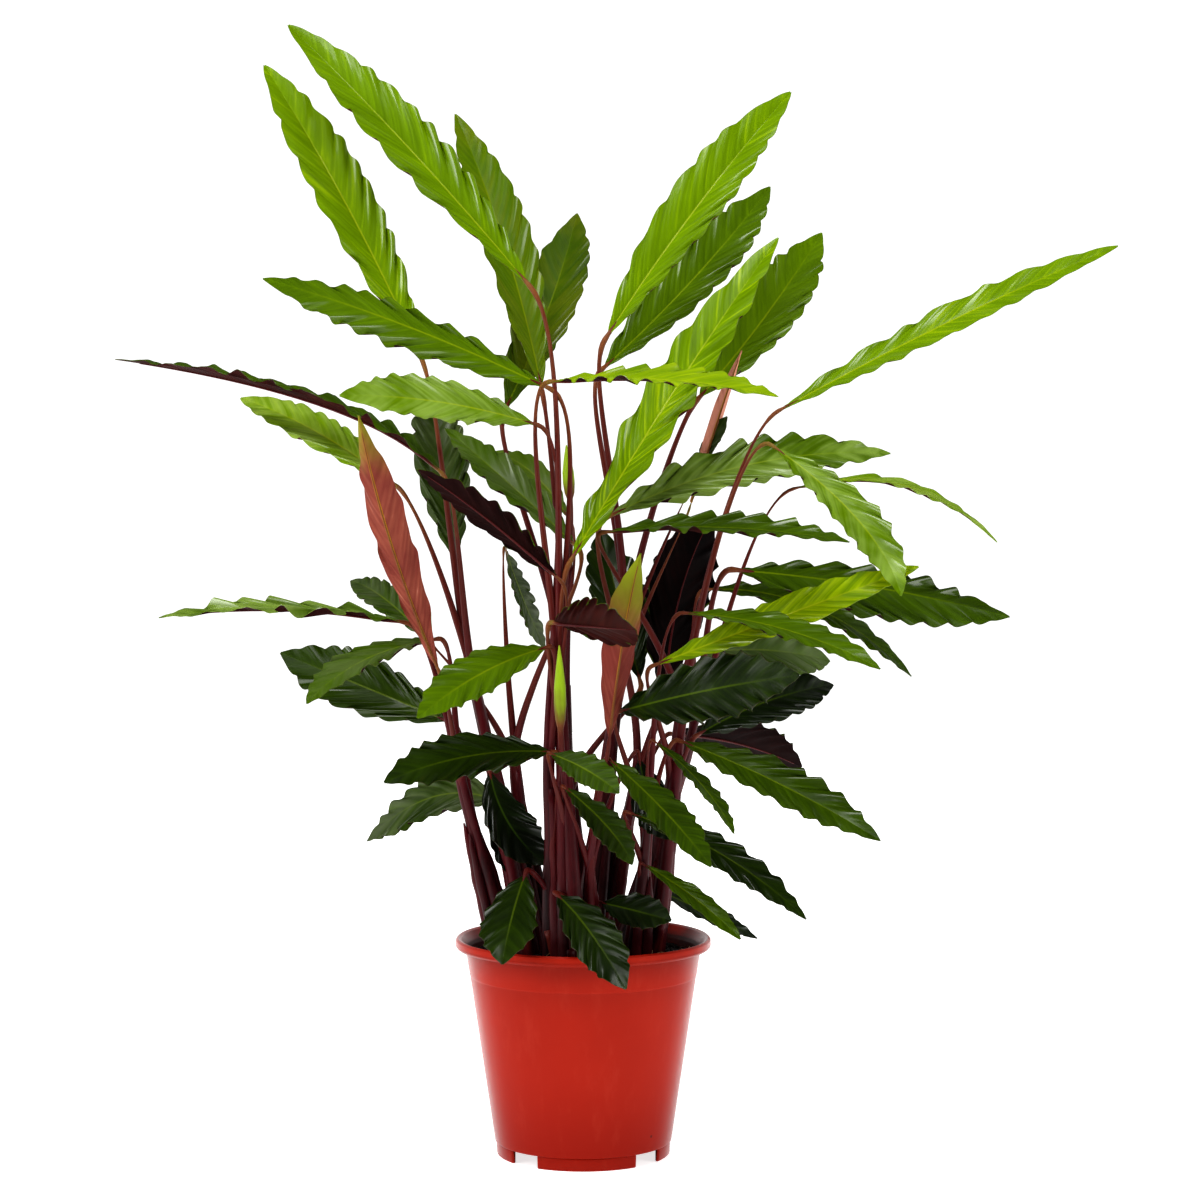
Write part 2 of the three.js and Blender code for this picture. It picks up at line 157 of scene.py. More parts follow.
# Leaf blades
BLADE_THICKNESS = 0.55 * MM
BLADE_END_WIDTHS = (3.4 * MM, 1.4 * MM)
BLADE_STEP = 15.5 * MM
ROWS_PER_STEP = 12
BLADE_COLUMNS = 10
WAVE_LENGTH = 9 * MM  # of a blade without length
WAVE_GROWTH = 0.07  # with the blade's length
FULL_WAVE = 26 * MM  # shorter waves are lower
STRONG_WAVES = 1.5  # waves above this are longer and reach further in
WIDE_BLADE = 50 * MM
TIP_START = 0.6
EDGE_SLANT = 0.5  # how far an edge runs ahead of the midrib, per half width
ROOT_SLANT = 1.5  # how far behind it a vein leaves the midrib
PLEAT_DEPTH = 0.18 * MM
PLEAT_LENGTH = 9.5 * MM
GROOVE_DEPTH = 0.5 * MM
GROOVE_WIDTH = 1.3 * MM
LOBE_REACH = 2.2
LOBE_SHIFT = 0.7  # along the edge, against the waves
LOBE_ROUNDNESS = 0.1
LOBE_MIDDLE = 0.74
# Per kind: wave height in millimetres, how far the waves fade towards the tip, their pace along each
# edge, height of the fine edge folds and depth of the lobes in millimetres, taper of the tip, and
# tones of a hidden upper face, of a hidden underside and of the rib
KINDS = {
    "lime": (2.7, 0.85, (0.8, 1.15), 0.15, 1.5, 0.0, 0.42, 0.4, 0.3),
    "fresh": (3.5, 0.6, (0.95, 1.1), 0.35, 2.1, 0.08, 0.42, 0.32, 0.3),
    "dark": (4.2, 0.5, (0.95, 1.1), 0.45, 2.3, 0.12, 0.42, 0.25, 0.3),
    "young": (1.5, 0.8, (0.7, 0.8), 0.05, 0.8, 0.3, 0.6, 0.25, 0.7),
}

# Studio
LIGHT_SIZE = 1.2
LIGHTS = (
    ("top_light", (-0.3, -0.8, 2.5), 38),
    ("left_light", (-2.1, -1.2, 1.4), 28),
    ("right_light", (2.2, -1.0, 1.2), 20),
)
FLOOR_RADIUS = 4

# Clumps of stems: centre in millimetres, angle of the first stem, and the stems' letters
CLUMPS = {
    "left": ((-46, -4), 180, "abc"),
    "front": ((-6, -46), 150, "def"),
    "back": ((2, 40), 150, "ghi"),
    "right": ((44, -2), 30, "jkl"),
}

# Per leaf: joint, middle and tip of the midrib and width, in millimetres, as they are seen from in
# front of the plant, tilt of the upper face from the viewer and fold of each half towards that face,
# in degrees, kind, and tone of the visible face.
LEAVES = {
    "a1": ((-122, 408, -36), (-161, 514, -51), (-187, 618, -66), 38, 165, 35, "young", 0.9),
    "a2": ((-125, 431, -8), (-184, 413, -59), (-231, 377, -110), 38, 60, 10, "fresh", 0.5),
    "a3": ((-114, 363, 20), (-182, 391, 50), (-253, 420, 80), 54, 30, 5, "dark", 0.31),
    "a4": ((-153, 446, 10), (-253, 456, -25), (-354, 449, -60), 38, 80, 12, "fresh", 0.54),
    "b1": ((-137, 671, 50), (-198, 795, 85), (-264, 907, 120), 52, 25, 18, "lime", 0.76),
    "b2": ((-120, 572, -10), (-219, 627, 65), (-389, 664, 140), 38, 86, 24, "dark", 0.35),
    "b3": ((-158, 561, 38), (-222, 604, 94), (-285, 632, 150), 38, 40, 10, "lime", 0.8),
    "b4": ((-107, 498, 70), (-118, 573, 135), (-128, 648, 200), 48, 15, 14, "dark", 0.36),
    "c1": ((-134, 435, 30), (-167, 466, 100), (-194, 480, 170), 28, 30, 10, "dark", 0.4),
    "c2": ((-69, 295, 40), (-126, 299, 85), (-181, 262, 130), 44, 50, 0, "dark", 0.36),
    "c3": ((-64, 504, 50), (-49, 462, 115), (-31, 421, 180), 22, 50, 10, "dark", 0.36),
    "c4": ((-8, 511, 0), (-62, 561, 38), (-115, 607, 75), 38, 45, 12, "dark", 0.5),
    # c5 and c6 get nearly black tones: painted shade for leaves deep between the stems.
    "c5": ((-78, 320, -10), (-63, 278, -25), (-32, 242, -40), 40, 20, 8, "dark", 0.03),
    "c6": ((-76, 297, 10), (-65, 263, 0), (-45, 225, -10), 32, 30, 8, "dark", 0.02),
    "d1": ((-32, 424, -60), (-86, 402, -120), (-139, 365, -180), 40, 30, 12, "fresh", 0.57),
    "d2": ((-27, 337, -62), (-97, 333, -106), (-167, 311, -150), 44, 42, 5, "dark", 0.24),
    "d3": ((-23, 484, -58), (-80, 532, -94), (-138, 573, -130), 32, 140, 12, "dark", 0.2),
    "d4": ((-42, 611, -25), (-122, 629, -88), (-203, 634, -150), 42, 35, 12, "fresh", 0.7),
    "d5": ((-49, 233, -60), (-60, 197, -95), (-68, 158, -130), 46, 15, 12, "dark", 0.22),
    "d6": ((-14, 535, 60), (-44, 571, 90), (-76, 587, 120), 26, 35, 10, "fresh", 0.62),
    "e1": ((-47, 728, 20), (-145, 839, 55), (-244, 940, 90), 54, 30, 22, "lime", 0.68),
    "e2": ((-32, 642, -5), (-150, 693, -52), (-266, 731, -100), 46, 42, -8, "fresh", 0.57),
    "e3": ((-9, 499, -30), (74, 635, 15), (162, 765, 60), 45, 30, 12, "lime", 0.76),
    "e4": ((-24, 646, -30), (68, 647, -110), (162, 633, -190), 40, 70, 12, "fresh", 0.84),
    "e5": ((-24, 445, -60), (10, 442, -115), (44, 439, -170), 48, 138, 12, "dark", 0.36),
    "e6": ((-26, 335, -84), (4, 321, -147), (30, 302, -210), 28, 35, 12, "fresh", 0.37),
    "f1": ((22, 349, -63), (34, 435, -74), (48, 503, -84), 40, 170, 45, "young", 0.85),
    "f2": ((24, 329, -60), (70, 285, -130), (107, 240, -200), 30, 25, 12, "fresh", 0.38),
    "f3": ((-14, 306, -70), (21, 273, -135), (41, 242, -200), 26, 25, 12, "fresh", 0.28),
    "f4": ((-21, 216, -74), (6, 185, -117), (36, 137, -160), 40, 15, 12, "dark", 0.17),
    "f5": ((16, 210, -45), (45, 203, -78), (74, 195, -110), 30, 30, 12, "dark", 0.13),
    # f6 gets a nearly black tone: painted shade for a leaf deep between the stems.
    "f6": ((47, 330, -20), (56, 297, -30), (74, 263, -40), 40, 25, 8, "dark", 0.03),
    "g1": ((-35, 642, 50), (-65, 758, 100), (-106, 867, 150), 52, 30, 16, "fresh", 0.58),
    "g2": ((-64, 624, 90), (-28, 708, 163), (-5, 785, 236), 58, 25, 10, "dark", 0.45),
    "g3": ((47, 398, 50), (30, 460, 100), (14, 523, 150), 50, 20, 12, "dark", 0.2),
    "h1": ((21, 685, 40), (93, 788, 75), (172, 885, 110), 53, 25, 20, "lime", 0.72),
    "h2": ((18, 658, 75), (92, 731, 156), (155, 807, 236), 54, 25, 16, "fresh", 0.54),
    "h3": ((97, 633, 70), (150, 698, 152), (198, 769, 234), 56, 20, 14, "dark", 0.6),
    "h4": ((90, 545, 60), (114, 620, 59), (132, 672, 58), 15, 160, 45, "young", 1),
    "h5": ((97, 576, 62), (107, 597, 60), (120, 617, 58), 16, 30, 10, "dark", 0.3),
    "i1": ((24, 535, 12), (140, 577, 44), (256, 586, 75), 46, 40, 8, "dark", 0.56),
    "i2": ((68, 389, 30), (81, 470, 70), (108, 535, 110), 60, 165, 12, "dark", 0.05),
    "i3": ((97, 419, 40), (152, 422, 120), (206, 413, 200), 50, 35, 12, "dark", 0.46),
    "i4": ((76, 352, 32), (130, 344, 91), (183, 324, 150), 46, 150, 12, "dark", 0.12),
    "j1": ((167, 624, 0), (306, 696, -70), (444, 758, -140), 32, 43, 12, "lime", 0.74),
    "j2": ((161, 590, -15), (231, 528, -72), (265, 467, -130), 38, 30, 12, "fresh", 0.68),
    "j3": ((21, 521, -20), (122, 524, -70), (222, 512, -120), 40, 70, 12, "fresh", 0.46),
    "j4": ((63, 411, -58), (171, 452, -74), (280, 492, -90), 32, 35, 8, "lime", 0.86),
    "k1": ((180, 558, 48), (268, 559, 39), (345, 512, 30), 30, 78, 4, "lime", 0.8),
    "k2": ((129, 489, 5), (242, 475, 32), (356, 450, 60), 54, 40, -16, "dark", 0.42),
    "k3": ((107, 473, 42), (196, 456, 73), (274, 400, 104), 28, 50, 10, "dark", 0.4),
    "k4": ((97, 352, -15), (153, 379, 52), (209, 393, 120), 44, 30, 12, "dark", 0.12),
    "l1": ((31, 371, -50), (106, 389, -140), (181, 401, -230), 52, 20, 6, "dark", 0.16),
    "l2": ((88, 453, -55), (169, 439, -112), (248, 406, -170), 34, 60, 12, "fresh", 0.55),
    "l3": ((84, 345, -25), (166, 309, -78), (249, 262, -130), 40, 40, 10, "dark", 0.4),
    "l4": ((62, 344, -52), (100, 308, -106), (126, 268, -160), 20, 60, 10, "fresh", 0.4),
    "l5": ((41, 285, -50), (117, 250, -80), (187, 196, -110), 30, 40, 8, "dark", 0.22),
    "l6": ((53, 241, -42), (93, 214, -71), (132, 179, -100), 20, 45, 10, "lime", 0.5),
    "l7": ((53, 225, 20), (94, 206, 45), (146, 180, 70), 22, 55, 10, "dark", 0.12),
}

# Small leaves in between, which the frame has no blade for
SMALL_LEAVES = ("c5", "c6", "d6", "f6", "h5")

# Shoots that are still rolled into a spike, per stem: base and tip.
SHOOTS = {
    "e": ((-19, 356, -62), (-20, 426, -64)),
    "g": ((-11, 548, 12), (-14, 593, 14)),
}

# Leaves that turn their underside to the front
UNDERSIDES = ("a1", "b2", "d3", "e5", "f1", "h4", "i2", "i4")

# How strong the edge waves of a leaf are, where they differ from those of its kind
WAVINESS = {"a1": 2.4, "a4": 1.6, "d4": 0.8, "e3": 1.7, "e4": 1.2, "i1": 1.3, "j3": 1.2}
WAVINESS |= {"f1": 0.3, "g1": 0.3, "g2": 0.3, "g3": 0.6, "h1": 0.8, "h2": 0.7, "h3": 0.6, "h4": 0}

# Finishes of the upper face: contrast of the stripes, gloss, and share and colour of a veil over the
# green: painted sheen with some dust on the dusty and pale finishes, an olive tint on the olive one
TOPS = {
    "lime": (0.07, 1.0),
    "fresh": (0.055, 0.8),
    "dark": (0.045, 0.9),
    "young": (0.04, 0.4),
    # The bright finish's strong stripes paint highlights along the vein crests.
    "bright": (0.13, 1.0),
    "dusty": (0.04, 0.4, 0.4),
    "olive": (0.03, 0.4, 0.35, (106, 106, 14)),
    "pale": (0.05, 0.8, 0.4, (160, 184, 96)),
}

# Leaves with another finish than that of their kind
FINISHES = {
    "bright": ("e3", "j4"),
    # The dusty and pale finishes lay a veil of painted sheen and dust over the green.
    "dusty": ("a2", "b4", "c1", "c2", "c3", "c4", "d6", "h5", "i3"),
    "olive": ("g1", "g2"),
    "pale": ("a4", "b3", "d4", "i1", "j2", "k1"),
}


def seen(place):
    """Turns a place seen from in front, at eye height, into a true one."""
    across, up, depth = (value * MM for value in place)
    spread = (depth - EYE.y) / -EYE.y
    return Vector((EYE.x + (across - EYE.x) * spread, depth, EYE.z + (up - EYE.z) * spread))


def mix(low, high, share):
    return low + (high - low) * share


def ease(low, high, value):
    """Rises smoothly from 0 at low to 1 at high."""
    share = min(max((value - low) / (high - low), 0), 1)
    return share * share * (3 - 2 * share)


def shares(count):
    return [i / count for i in range(count + 1)]


def outward(angle):
    return Vector((cos(angle), sin(angle), 0))


def screen(red, green, blue):
    """A colour as a screen shows it, 0 to 255, as the shader wants it."""
    parts = [value / 255 for value in (red, green, blue)]
    return tuple(p / 12.92 if p < 0.04 else ((p + 0.055) / 1.055) ** 2.4 for p in parts) + (1,)


# Shaders


class Wire:
    """A socket of a node tree. Arithmetic on it adds Math nodes."""

    def __init__(self, board, socket):
        self.board = board
        self.socket = socket

    def __add__(self, other):
        return self.board.maths("ADD", self, other)

    __radd__ = __add__

    def __sub__(self, other):
        return self.board.maths("SUBTRACT", self, other)

    def __rsub__(self, other):
        return self.board.maths("SUBTRACT", other, self)

    def __mul__(self, other):
        return self.board.maths("MULTIPLY", self, other)

    __rmul__ = __mul__

    def __pow__(self, other):
        return self.board.maths("POWER", self, other)


class Board:
    """A node tree that nodes are added to."""

    def __init__(self, tree):
        self.tree = tree

    def plug(self, socket, value):
        if isinstance(value, Wire):
            self.tree.links.new(value.socket, socket)
        else:
            socket.default_value = value

    def node(self, kind, settings=None, values=None, output=0):
        node = self.tree.nodes.new("ShaderNode" + kind)
        for name, value in (settings or {}).items():
            if name == "stops":
                while len(node.color_ramp.elements) < len(value):
                    node.color_ramp.elements.new(1)
                for element, (position, colour) in zip(node.color_ramp.elements, value):
                    element.position = position
                    element.color = colour
            else:
                setattr(node, name, value)
        for name, value in (values or {}).items():
            self.plug(node.inputs[name], value)
        return Wire(self, node.outputs[output])

    def maths(self, operation, first, second=0.0):
        return self.node("Math", {"operation": operation}, {0: first, 1: second})

    def between(self, value, low, high):
        """0 below low and 1 above high, or the other way round, with a smooth change."""
        settings = {"interpolation_type": "SMOOTHSTEP"}
        values = {"Value": value, "From Min": low, "From Max": high}
        return self.node("MapRange", settings, values)

    def blend(self, share, first, second):
        return self.node("Mix", {"data_type": "RGBA"}, {0: share, 6: first, 7: second}, 2)

    def ramp(self, value, *stops):
        """A colour ramp. Each stop is a position and a screen colour."""
        stops = [(position, screen(*colour)) for position, *colour in stops]
        return self.node("ValToRGB", {"stops": stops}, {"Fac": value})

    def attribute(self, name):
        return self.node("Attribute", {"attribute_name": name}, None, "Fac")

    def place(self, stretch=(1, 1, 1)):
        point = self.node("TexCoord", None, None, "Object")
        return self.node("Mapping", None, {"Vector": point, "Scale": stretch})

    def joined(self, x, y, z):
        return self.node("CombineXYZ", None, {"X": x, "Y": y, "Z": z})

    def length(self, vector):
        return self.node("VectorMath", {"operation": "LENGTH"}, {"Vector": vector}, "Value")

    def noise(self, place, scale, detail, roughness=0.55):
        values = {"Vector": place, "Scale": scale, "Detail": detail, "Roughness": roughness}
        return self.node("TexNoise", None, values)


class Finish(Board):
    """A material, with the constants of its shader."""

    def __init__(self, name, specular, **constants):
        self.material = bpy.data.materials.new(name)
        self.material.use_nodes = True
        super().__init__(self.material.node_tree)
        self.shader = self.tree.nodes["Principled BSDF"]
        self.shader.inputs["Specular IOR Level"].default_value = specular
        self.feed(**constants)

    def feed(self, **values):
        for name, value in values.items():
            self.plug(self.shader.inputs[name.replace("_", " ").title()], value)

    def bump(self, height, strength, distance):
        values = {"Height": height, "Strength": strength, "Distance": distance}
        self.feed(normal=self.node("Bump", None, values))


def leaf_marks(leaf):
    """Pleats and share of the length from the base, and share and distance from the midrib."""
    edge = leaf.maths("ABSOLUTE", leaf.attribute("across"))
    return leaf.attribute("pleat"), leaf.attribute("share"), edge, edge * leaf.attribute("half_width")


def leaf_top(name, stripe, gloss, dust_and_sheen=0.0, dust_and_sheen_tone=(96, 104, 74)):
    """The green upper face: pale lines along the veins, a pale midrib and a silky shine, with the pleat
    crests painted lighter and, on some finishes, a veil of painted sheen and dust.
    """
    leaf = Finish(name, 0.07, coat_roughness=0.15)
    tone = leaf.attribute("tone")
    pleat, share, edge, out = leaf_marks(leaf)
    grain = leaf.noise(leaf.joined(pleat * 2.4, out * 26, tone * 40), 1.4, 4.0)
    clouds = leaf.noise(leaf.place(), 20.0, 3.0)
    patches = leaf.noise(leaf.joined(pleat * 0.35, out * 25, tone * 70), 1.0, 2.0)
    bands = leaf.noise(leaf.joined(pleat * 0.9, out * 12, tone * 90), 1.3, 1.0)
    # Painted highlight: the pleat crests are lighter, partly paler streaks along the veins and partly a
    # painted highlight, strongest in the bright finish.
    crest = (0.5 + 0.5 * leaf.maths("COSINE", (pleat + bands) * tau)) ** 3
    fine = leaf.maths("COSINE", pleat * (8 * pi))
    clear = leaf.between(edge, 0.02, 0.2) * leaf.between(patches, 0.35, 0.62)
    green = tone + (crest * 1.2 - 0.25) * clear * stripe + fine * clear * (0.1 * stripe)
    green = green + (grain - 0.5) * (3 * stripe) + (clouds - 0.5) * 0.16 + (patches - 0.5) * 0.12
    green = green + (bands - 0.5) * (3 * stripe) + leaf.between(edge, 0.35, 0.0) * 0.03
    skin = leaf.ramp(
        green,
        (0.0, 8, 13, 3), (0.15, 20, 33, 5), (0.35, 44, 64, 2), (0.55, 74, 101, 0),
        (0.78, 105, 136, 0), (1.0, 158, 180, 4),
    )
    rib_line = leaf.between(out, 1.2 * MM, 0.4 * MM) * leaf.between(share, 1.0, 0.6) * 0.7
    rib_tone = leaf.ramp(tone, (0.0, 44, 66, 14), (0.5, 112, 132, 6), (0.9, 172, 184, 24))
    skin = leaf.blend(rib_line, skin, rib_tone)
    skin = leaf.blend(leaf.between(edge, 0.97, 0.995) * 0.3, skin, screen(60, 50, 16))
    # The veil: painted sheen with some dust on the dusty and pale finishes, an olive tint on the olive
    # finish.
    if dust_and_sheen:
        dust_and_sheen_veil = leaf.between(clouds + (bands - 0.5) * 0.7, 0.3, 0.7)
        skin = leaf.blend(dust_and_sheen_veil * dust_and_sheen, skin, screen(*dust_and_sheen_tone))
    # The coat shines on the wave crests and fades where the face is seen edge on
    glint = leaf.between(leaf.attribute("crest") + (bands - 0.5) * 1.6, 0.1, 0.8)
    inner = 0.35 - 2 * stripe
    coat = leaf.between(clouds, 0.46, 0.66) * 0.25 + glint * leaf.between(edge, inner, inner + 0.4)
    facing = leaf.node("LayerWeight", None, {"Blend": 0.5}, "Facing")
    coat = coat * leaf.between(facing, 0.75, 0.35) * gloss
    rough = mix(0.5, 0.32, gloss) + (grain - 0.5) * 0.2 + leaf.between(facing, 0.55, 0.9) * 0.5
    leaf.feed(base_color=skin, roughness=rough, coat_weight=coat)
    leaf.bump(patches + bands + fine * 0.1, 0.22, 0.4 * MM)
    return leaf.material


def leaf_under():
    """The velvety underside: wine red to nearly black, or pink on young leaves."""
    leaf = Finish("leaf_under", 0.06)
    depth = leaf.attribute("under")
    pleat, share, edge, out = leaf_marks(leaf)
    grain = leaf.noise(leaf.joined(pleat, out * 50, depth * 40), 1.4, 4.0)
    clouds = leaf.noise(leaf.place(), 26.0, 3.0)
    wave = leaf.maths("COSINE", pleat * tau)
    value = depth + wave * 0.015 + (grain - 0.5) * 0.2 + (clouds - 0.5) * 0.2
    skin = leaf.ramp(
        value,
        (0.0, 10, 4, 4), (0.3, 40, 12, 11), (0.6, 88, 34, 28), (0.85, 122, 56, 48),
        (0.95, 148, 80, 64), (1.0, 206, 140, 118),
    )
    young = leaf.between(depth, 0.7, 0.8)
    tipward = share + (clouds - 0.5) * 0.3 + edge * 0.12 - (depth - 0.85) * 3.5
    green = leaf.between(tipward, 0.62, 1.02) * young
    skin = leaf.blend(green * 0.9, skin, screen(132, 146, 26))
    rib_line = leaf.between(out, 1.5 * MM, 0.7 * MM) * leaf.between(share, 1.0, 0.7)
    rib_tone = leaf.ramp(depth, (0.0, 26, 10, 10), (0.4, 66, 26, 20), (0.85, 196, 146, 30))
    skin = leaf.blend(rib_line * 0.9, skin, rib_tone)
    leaf.feed(base_color=skin, roughness=0.6 + (clouds - 0.5) * 0.2)
    leaf.bump(grain, 0.25, 0.4 * MM)
    return leaf.material


def stalk_skin():
    """Smooth stalks: wine red below, red-brown at the knees, green on shoots."""
    stalk = Finish("stalk_skin", 0.2)
    tone = stalk.attribute("tone")
    streaks = stalk.noise(stalk.place((260, 260, 22)), 1.0, 4.0)
    blotches = stalk.noise(stalk.place(), 38.0, 3.0)
    value = tone + (streaks - 0.5) * 0.22 + (blotches - 0.5) * 0.18
    skin = stalk.ramp(
        value,
        (0.0, 14, 3, 5), (0.25, 78, 10, 18), (0.5, 92, 32, 20), (0.7, 120, 70, 34),
        (0.85, 122, 112, 30), (1.0, 150, 182, 30),
    )
    stalk.feed(base_color=skin, roughness=0.42 + (streaks - 0.5) * 0.3)
    stalk.bump(streaks, 0.25, 0.5 * MM)
    return stalk.material


def pot_plastic():
    """Moulded red plastic, a little dusty, with faint turning lines and specks of dirt, and painted
    shade: darker towards the bottom, under the lip and on the inner wall.
    """
    pot = Finish("pot_plastic", 0.1, coat_roughness=0.25)
    place = pot.place()
    clouds = pot.noise(place, 9.0, 4.0)
    rings = pot.noise(pot.place((6, 6, 900)), 1.0, 2.0)
    scuffs = pot.noise(pot.place((70, 70, 22)), 1.0, 5.0, 0.65)
    dots = pot.node("TexVoronoi", None, {"Vector": place, "Scale": 34.0}, "Distance")
    speck = pot.between(dots, 0.055, 0.03) * pot.between(clouds, 0.5, 0.56)
    radius = pot.length(pot.place((1, 1, 0)))
    height = pot.node("SeparateXYZ", None, {"Vector": place}, "Z")
    slope = (BODY_TOP_RADIUS - FOOT_RADIUS) / (LIP_BOTTOM - FOOT_HEIGHT)
    # Painted shade: the inner wall is coloured nearly black-red to stand for the shadow inside the pot.
    inside = pot.between(radius - height * slope, FOOT_RADIUS - 1.5 * MM, FOOT_RADIUS - 2.5 * MM)
    skin = pot.blend(clouds, screen(150, 26, 6), screen(172, 41, 22))
    # Painted shade: the wall gets darker towards the floor.
    skin = pot.blend(pot.between(height, 0.09, 0.01) * 0.7, skin, screen(134, 17, 0))
    # Painted shade: the band under the lip is darker, as if the lip shaded it.
    band = pot.between(height, BAND_BOTTOM, LIP_BOTTOM)
    skin = pot.blend((band - pot.between(height, 0.175, 0.178)) * 0.55, skin, screen(112, 14, 0))
    skin = pot.blend(pot.between(scuffs, 0.5, 0.8) * 0.12, skin, screen(206, 84, 64))
    skin = pot.blend(speck * 0.7, skin, screen(60, 18, 16))
    skin = pot.blend(inside * 0.85, skin, screen(56, 12, 8))
    facing = pot.node("LayerWeight", None, {"Blend": 0.5}, "Facing")
    pot.feed(coat_weight=pot.between(facing, 0.4, 0.95) * (0.8 - inside * 0.8))
    pot.feed(base_color=skin, roughness=0.36 + scuffs * 0.16 + (clouds - 0.5) * 0.1)
    pot.bump(rings * 0.4 + scuffs * 0.6, 0.12, 0.4 * MM)
    return pot.material


def compost_soil():
    """Nearly black, crumbly compost."""
    soil = Finish("compost_soil", 0.25)
    place = soil.place()
    grain = soil.noise(place, 420.0, 6.0, 0.7)
    lumps = soil.noise(place, 90.0, 4.0)
    value = grain * 0.6 + lumps * 0.4
    skin = soil.ramp(value, (0.3, 8, 5, 4), (0.5, 22, 14, 11), (0.68, 52, 36, 26))
    soil.feed(base_color=skin, roughness=0.85 + (grain - 0.5) * 0.2)
    soil.bump(value, 0.8, 2 * MM)
    return soil.material


def root_fibre():
    """Pale brown ends of roots."""
    root = Finish("root_fibre", 0.3, roughness=0.7)
    grain = root.noise(root.place(), 160.0, 3.0)
    root.feed(base_color=root.ramp(grain, (0.3, 96, 74, 50), (0.7, 176, 148, 108)))
    root.bump(grain, 0.4, 0.4 * MM)
    return root.material


def floor_paint():
    """A pale floor that glows more the further it is from the plant."""
    floor = Finish("floor_paint", 0.1, roughness=0.8, emission_strength=1.0)
    grain = floor.noise(floor.place(), 3.0, 2.0)
    far = floor.between(floor.length(floor.place()), 0.3, 2.2)
    glow = floor.blend(far, (0.62, 0.62, 0.62, 1), (1, 1, 1, 1))
    paint = floor.blend(grain, screen(244, 244, 244), screen(248, 248, 247))
    floor.feed(base_color=paint, emission_color=glow)
    return floor.material


# Shapes


def mesh_of(name, bm, finishes=()):
    mesh = bpy.data.meshes.new(name)
    bm.to_mesh(mesh)
    bm.free()
    for finish in finishes:
        mesh.materials.append(finish)
    return mesh


def added(name, data):
    piece = bpy.data.objects.new(name, data)
    bpy.context.scene.collection.objects.link(piece)
    return piece


def new_piece(name, bm, finishes, slot, *nodes):
    """Makes a piece of the mesh, in place of the frame's nodes."""
    piece = added(name, mesh_of(name, bm, finishes))
    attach(piece, "root")
    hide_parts(*nodes)
    return piece


def smooth(bm, faces=None):
    for face in faces or bm.faces:
        face.smooth = True


def frames_along(points, radii):
    """A turned, moved and scaled frame for the ring at each point of a tube."""
    across = Vector((1, 0, 0))
    last = len(points) - 1
    frames = []
    for i, (point, radius) in enumerate(zip(points, radii)):
        along = (points[min(i + 1, last)] - points[max(i - 1, 0)]).normalized()
        across = (across - along * across.dot(along)).normalized()
        turn = Matrix((across, along.cross(across), along)).transposed().to_4x4()
        frames.append(Matrix.Translation(point) @ turn @ Matrix.Scale(radius, 4))
    return frames


def sweep(bm, points, radii, sides, tones=None):
    """Draws a closed round tube through the points, with a radius and a tone for each."""
    layer = bm.verts.layers.float.get("tone") or bm.verts.layers.float.new("tone")
    frames = frames_along(points, radii)
    ring = bmesh.ops.create_circle(bm, segments=sides, radius=1, matrix=frames[0])["verts"]
    edges = list(dict.fromkeys(edge for vert in ring for edge in vert.link_edges))
    faces = [bmesh.ops.contextual_create(bm, geom=edges)["faces"][0]]
    faces[0].normal_flip()
    for i, frame in enumerate(frames):
        if i:
            made = bmesh.ops.extrude_edge_only(bm, edges=edges)["geom"]
            ring = [item for item in made if isinstance(item, bmesh.types.BMVert)]
            edges = [item for item in made if isinstance(item, bmesh.types.BMEdge)]
            edges = [edge for edge in edges if len(edge.link_faces) == 1]
            faces += [item for item in made if isinstance(item, bmesh.types.BMFace)]
            bmesh.ops.transform(bm, matrix=frame @ frames[i - 1].inverted(), verts=ring)
        for vert in ring:
            vert[layer] = tones[i] if tones else 0
    faces += bmesh.ops.contextual_create(bm, geom=edges)["faces"]
    bmesh.ops.recalc_face_normals(bm, faces=faces)
    smooth(bm, faces)


def bezier(corners, share):
    """A point of the curve that the three or four corners give."""
    while len(corners) > 1:
        corners = [mix(a, b, share) for a, b in zip(corners, corners[1:])]
    return corners[0]


# Leaves


class Rib:
    """The line of a leaf's midrib, followed by the distance from the joint."""

    MARKS = 120

    def __init__(self, places, tilt):
        self.joint, middle, self.tip = (seen(place) for place in places)
        self.corners = [self.joint, middle * 2 - (self.joint + self.tip) / 2, self.tip]
        points = [bezier(self.corners, share) for share in shares(self.MARKS)]
        self.marks = [0.0]
        for a, b in zip(points, points[1:]):
            self.marks.append(self.marks[-1] + (b - a).length)
        self.length = self.marks[-1]
        self.face = self.upper_face(radians(tilt))

    def upper_face(self, tilt):
        """Where the upper face looks: turned from the viewer by the tilt, upper side up."""
        along = (self.tip - self.joint).normalized()
        toward_viewer = Vector((0, -1, 0))
        toward_viewer = (toward_viewer - along * toward_viewer.dot(along)).normalized()
        upward = along.cross(toward_viewer)
        if upward.z < 0:
            upward.negate()
        return toward_viewer * cos(tilt) + upward * sin(tilt)

    def frame(self, distance):
        """The rib's point, its direction, and the blade's upward and sideways directions."""
        i = min(max(bisect(self.marks, distance) - 1, 0), self.MARKS - 1)
        share = (i + (distance - self.marks[i]) / (self.marks[i + 1] - self.marks[i])) / self.MARKS
        start, bend, end = self.corners
        along = mix(bend - start, end - bend, share).normalized()
        normal = (self.face - along * self.face.dot(along)).normalized()
        return bezier(self.corners, share), along, normal, along.cross(normal)


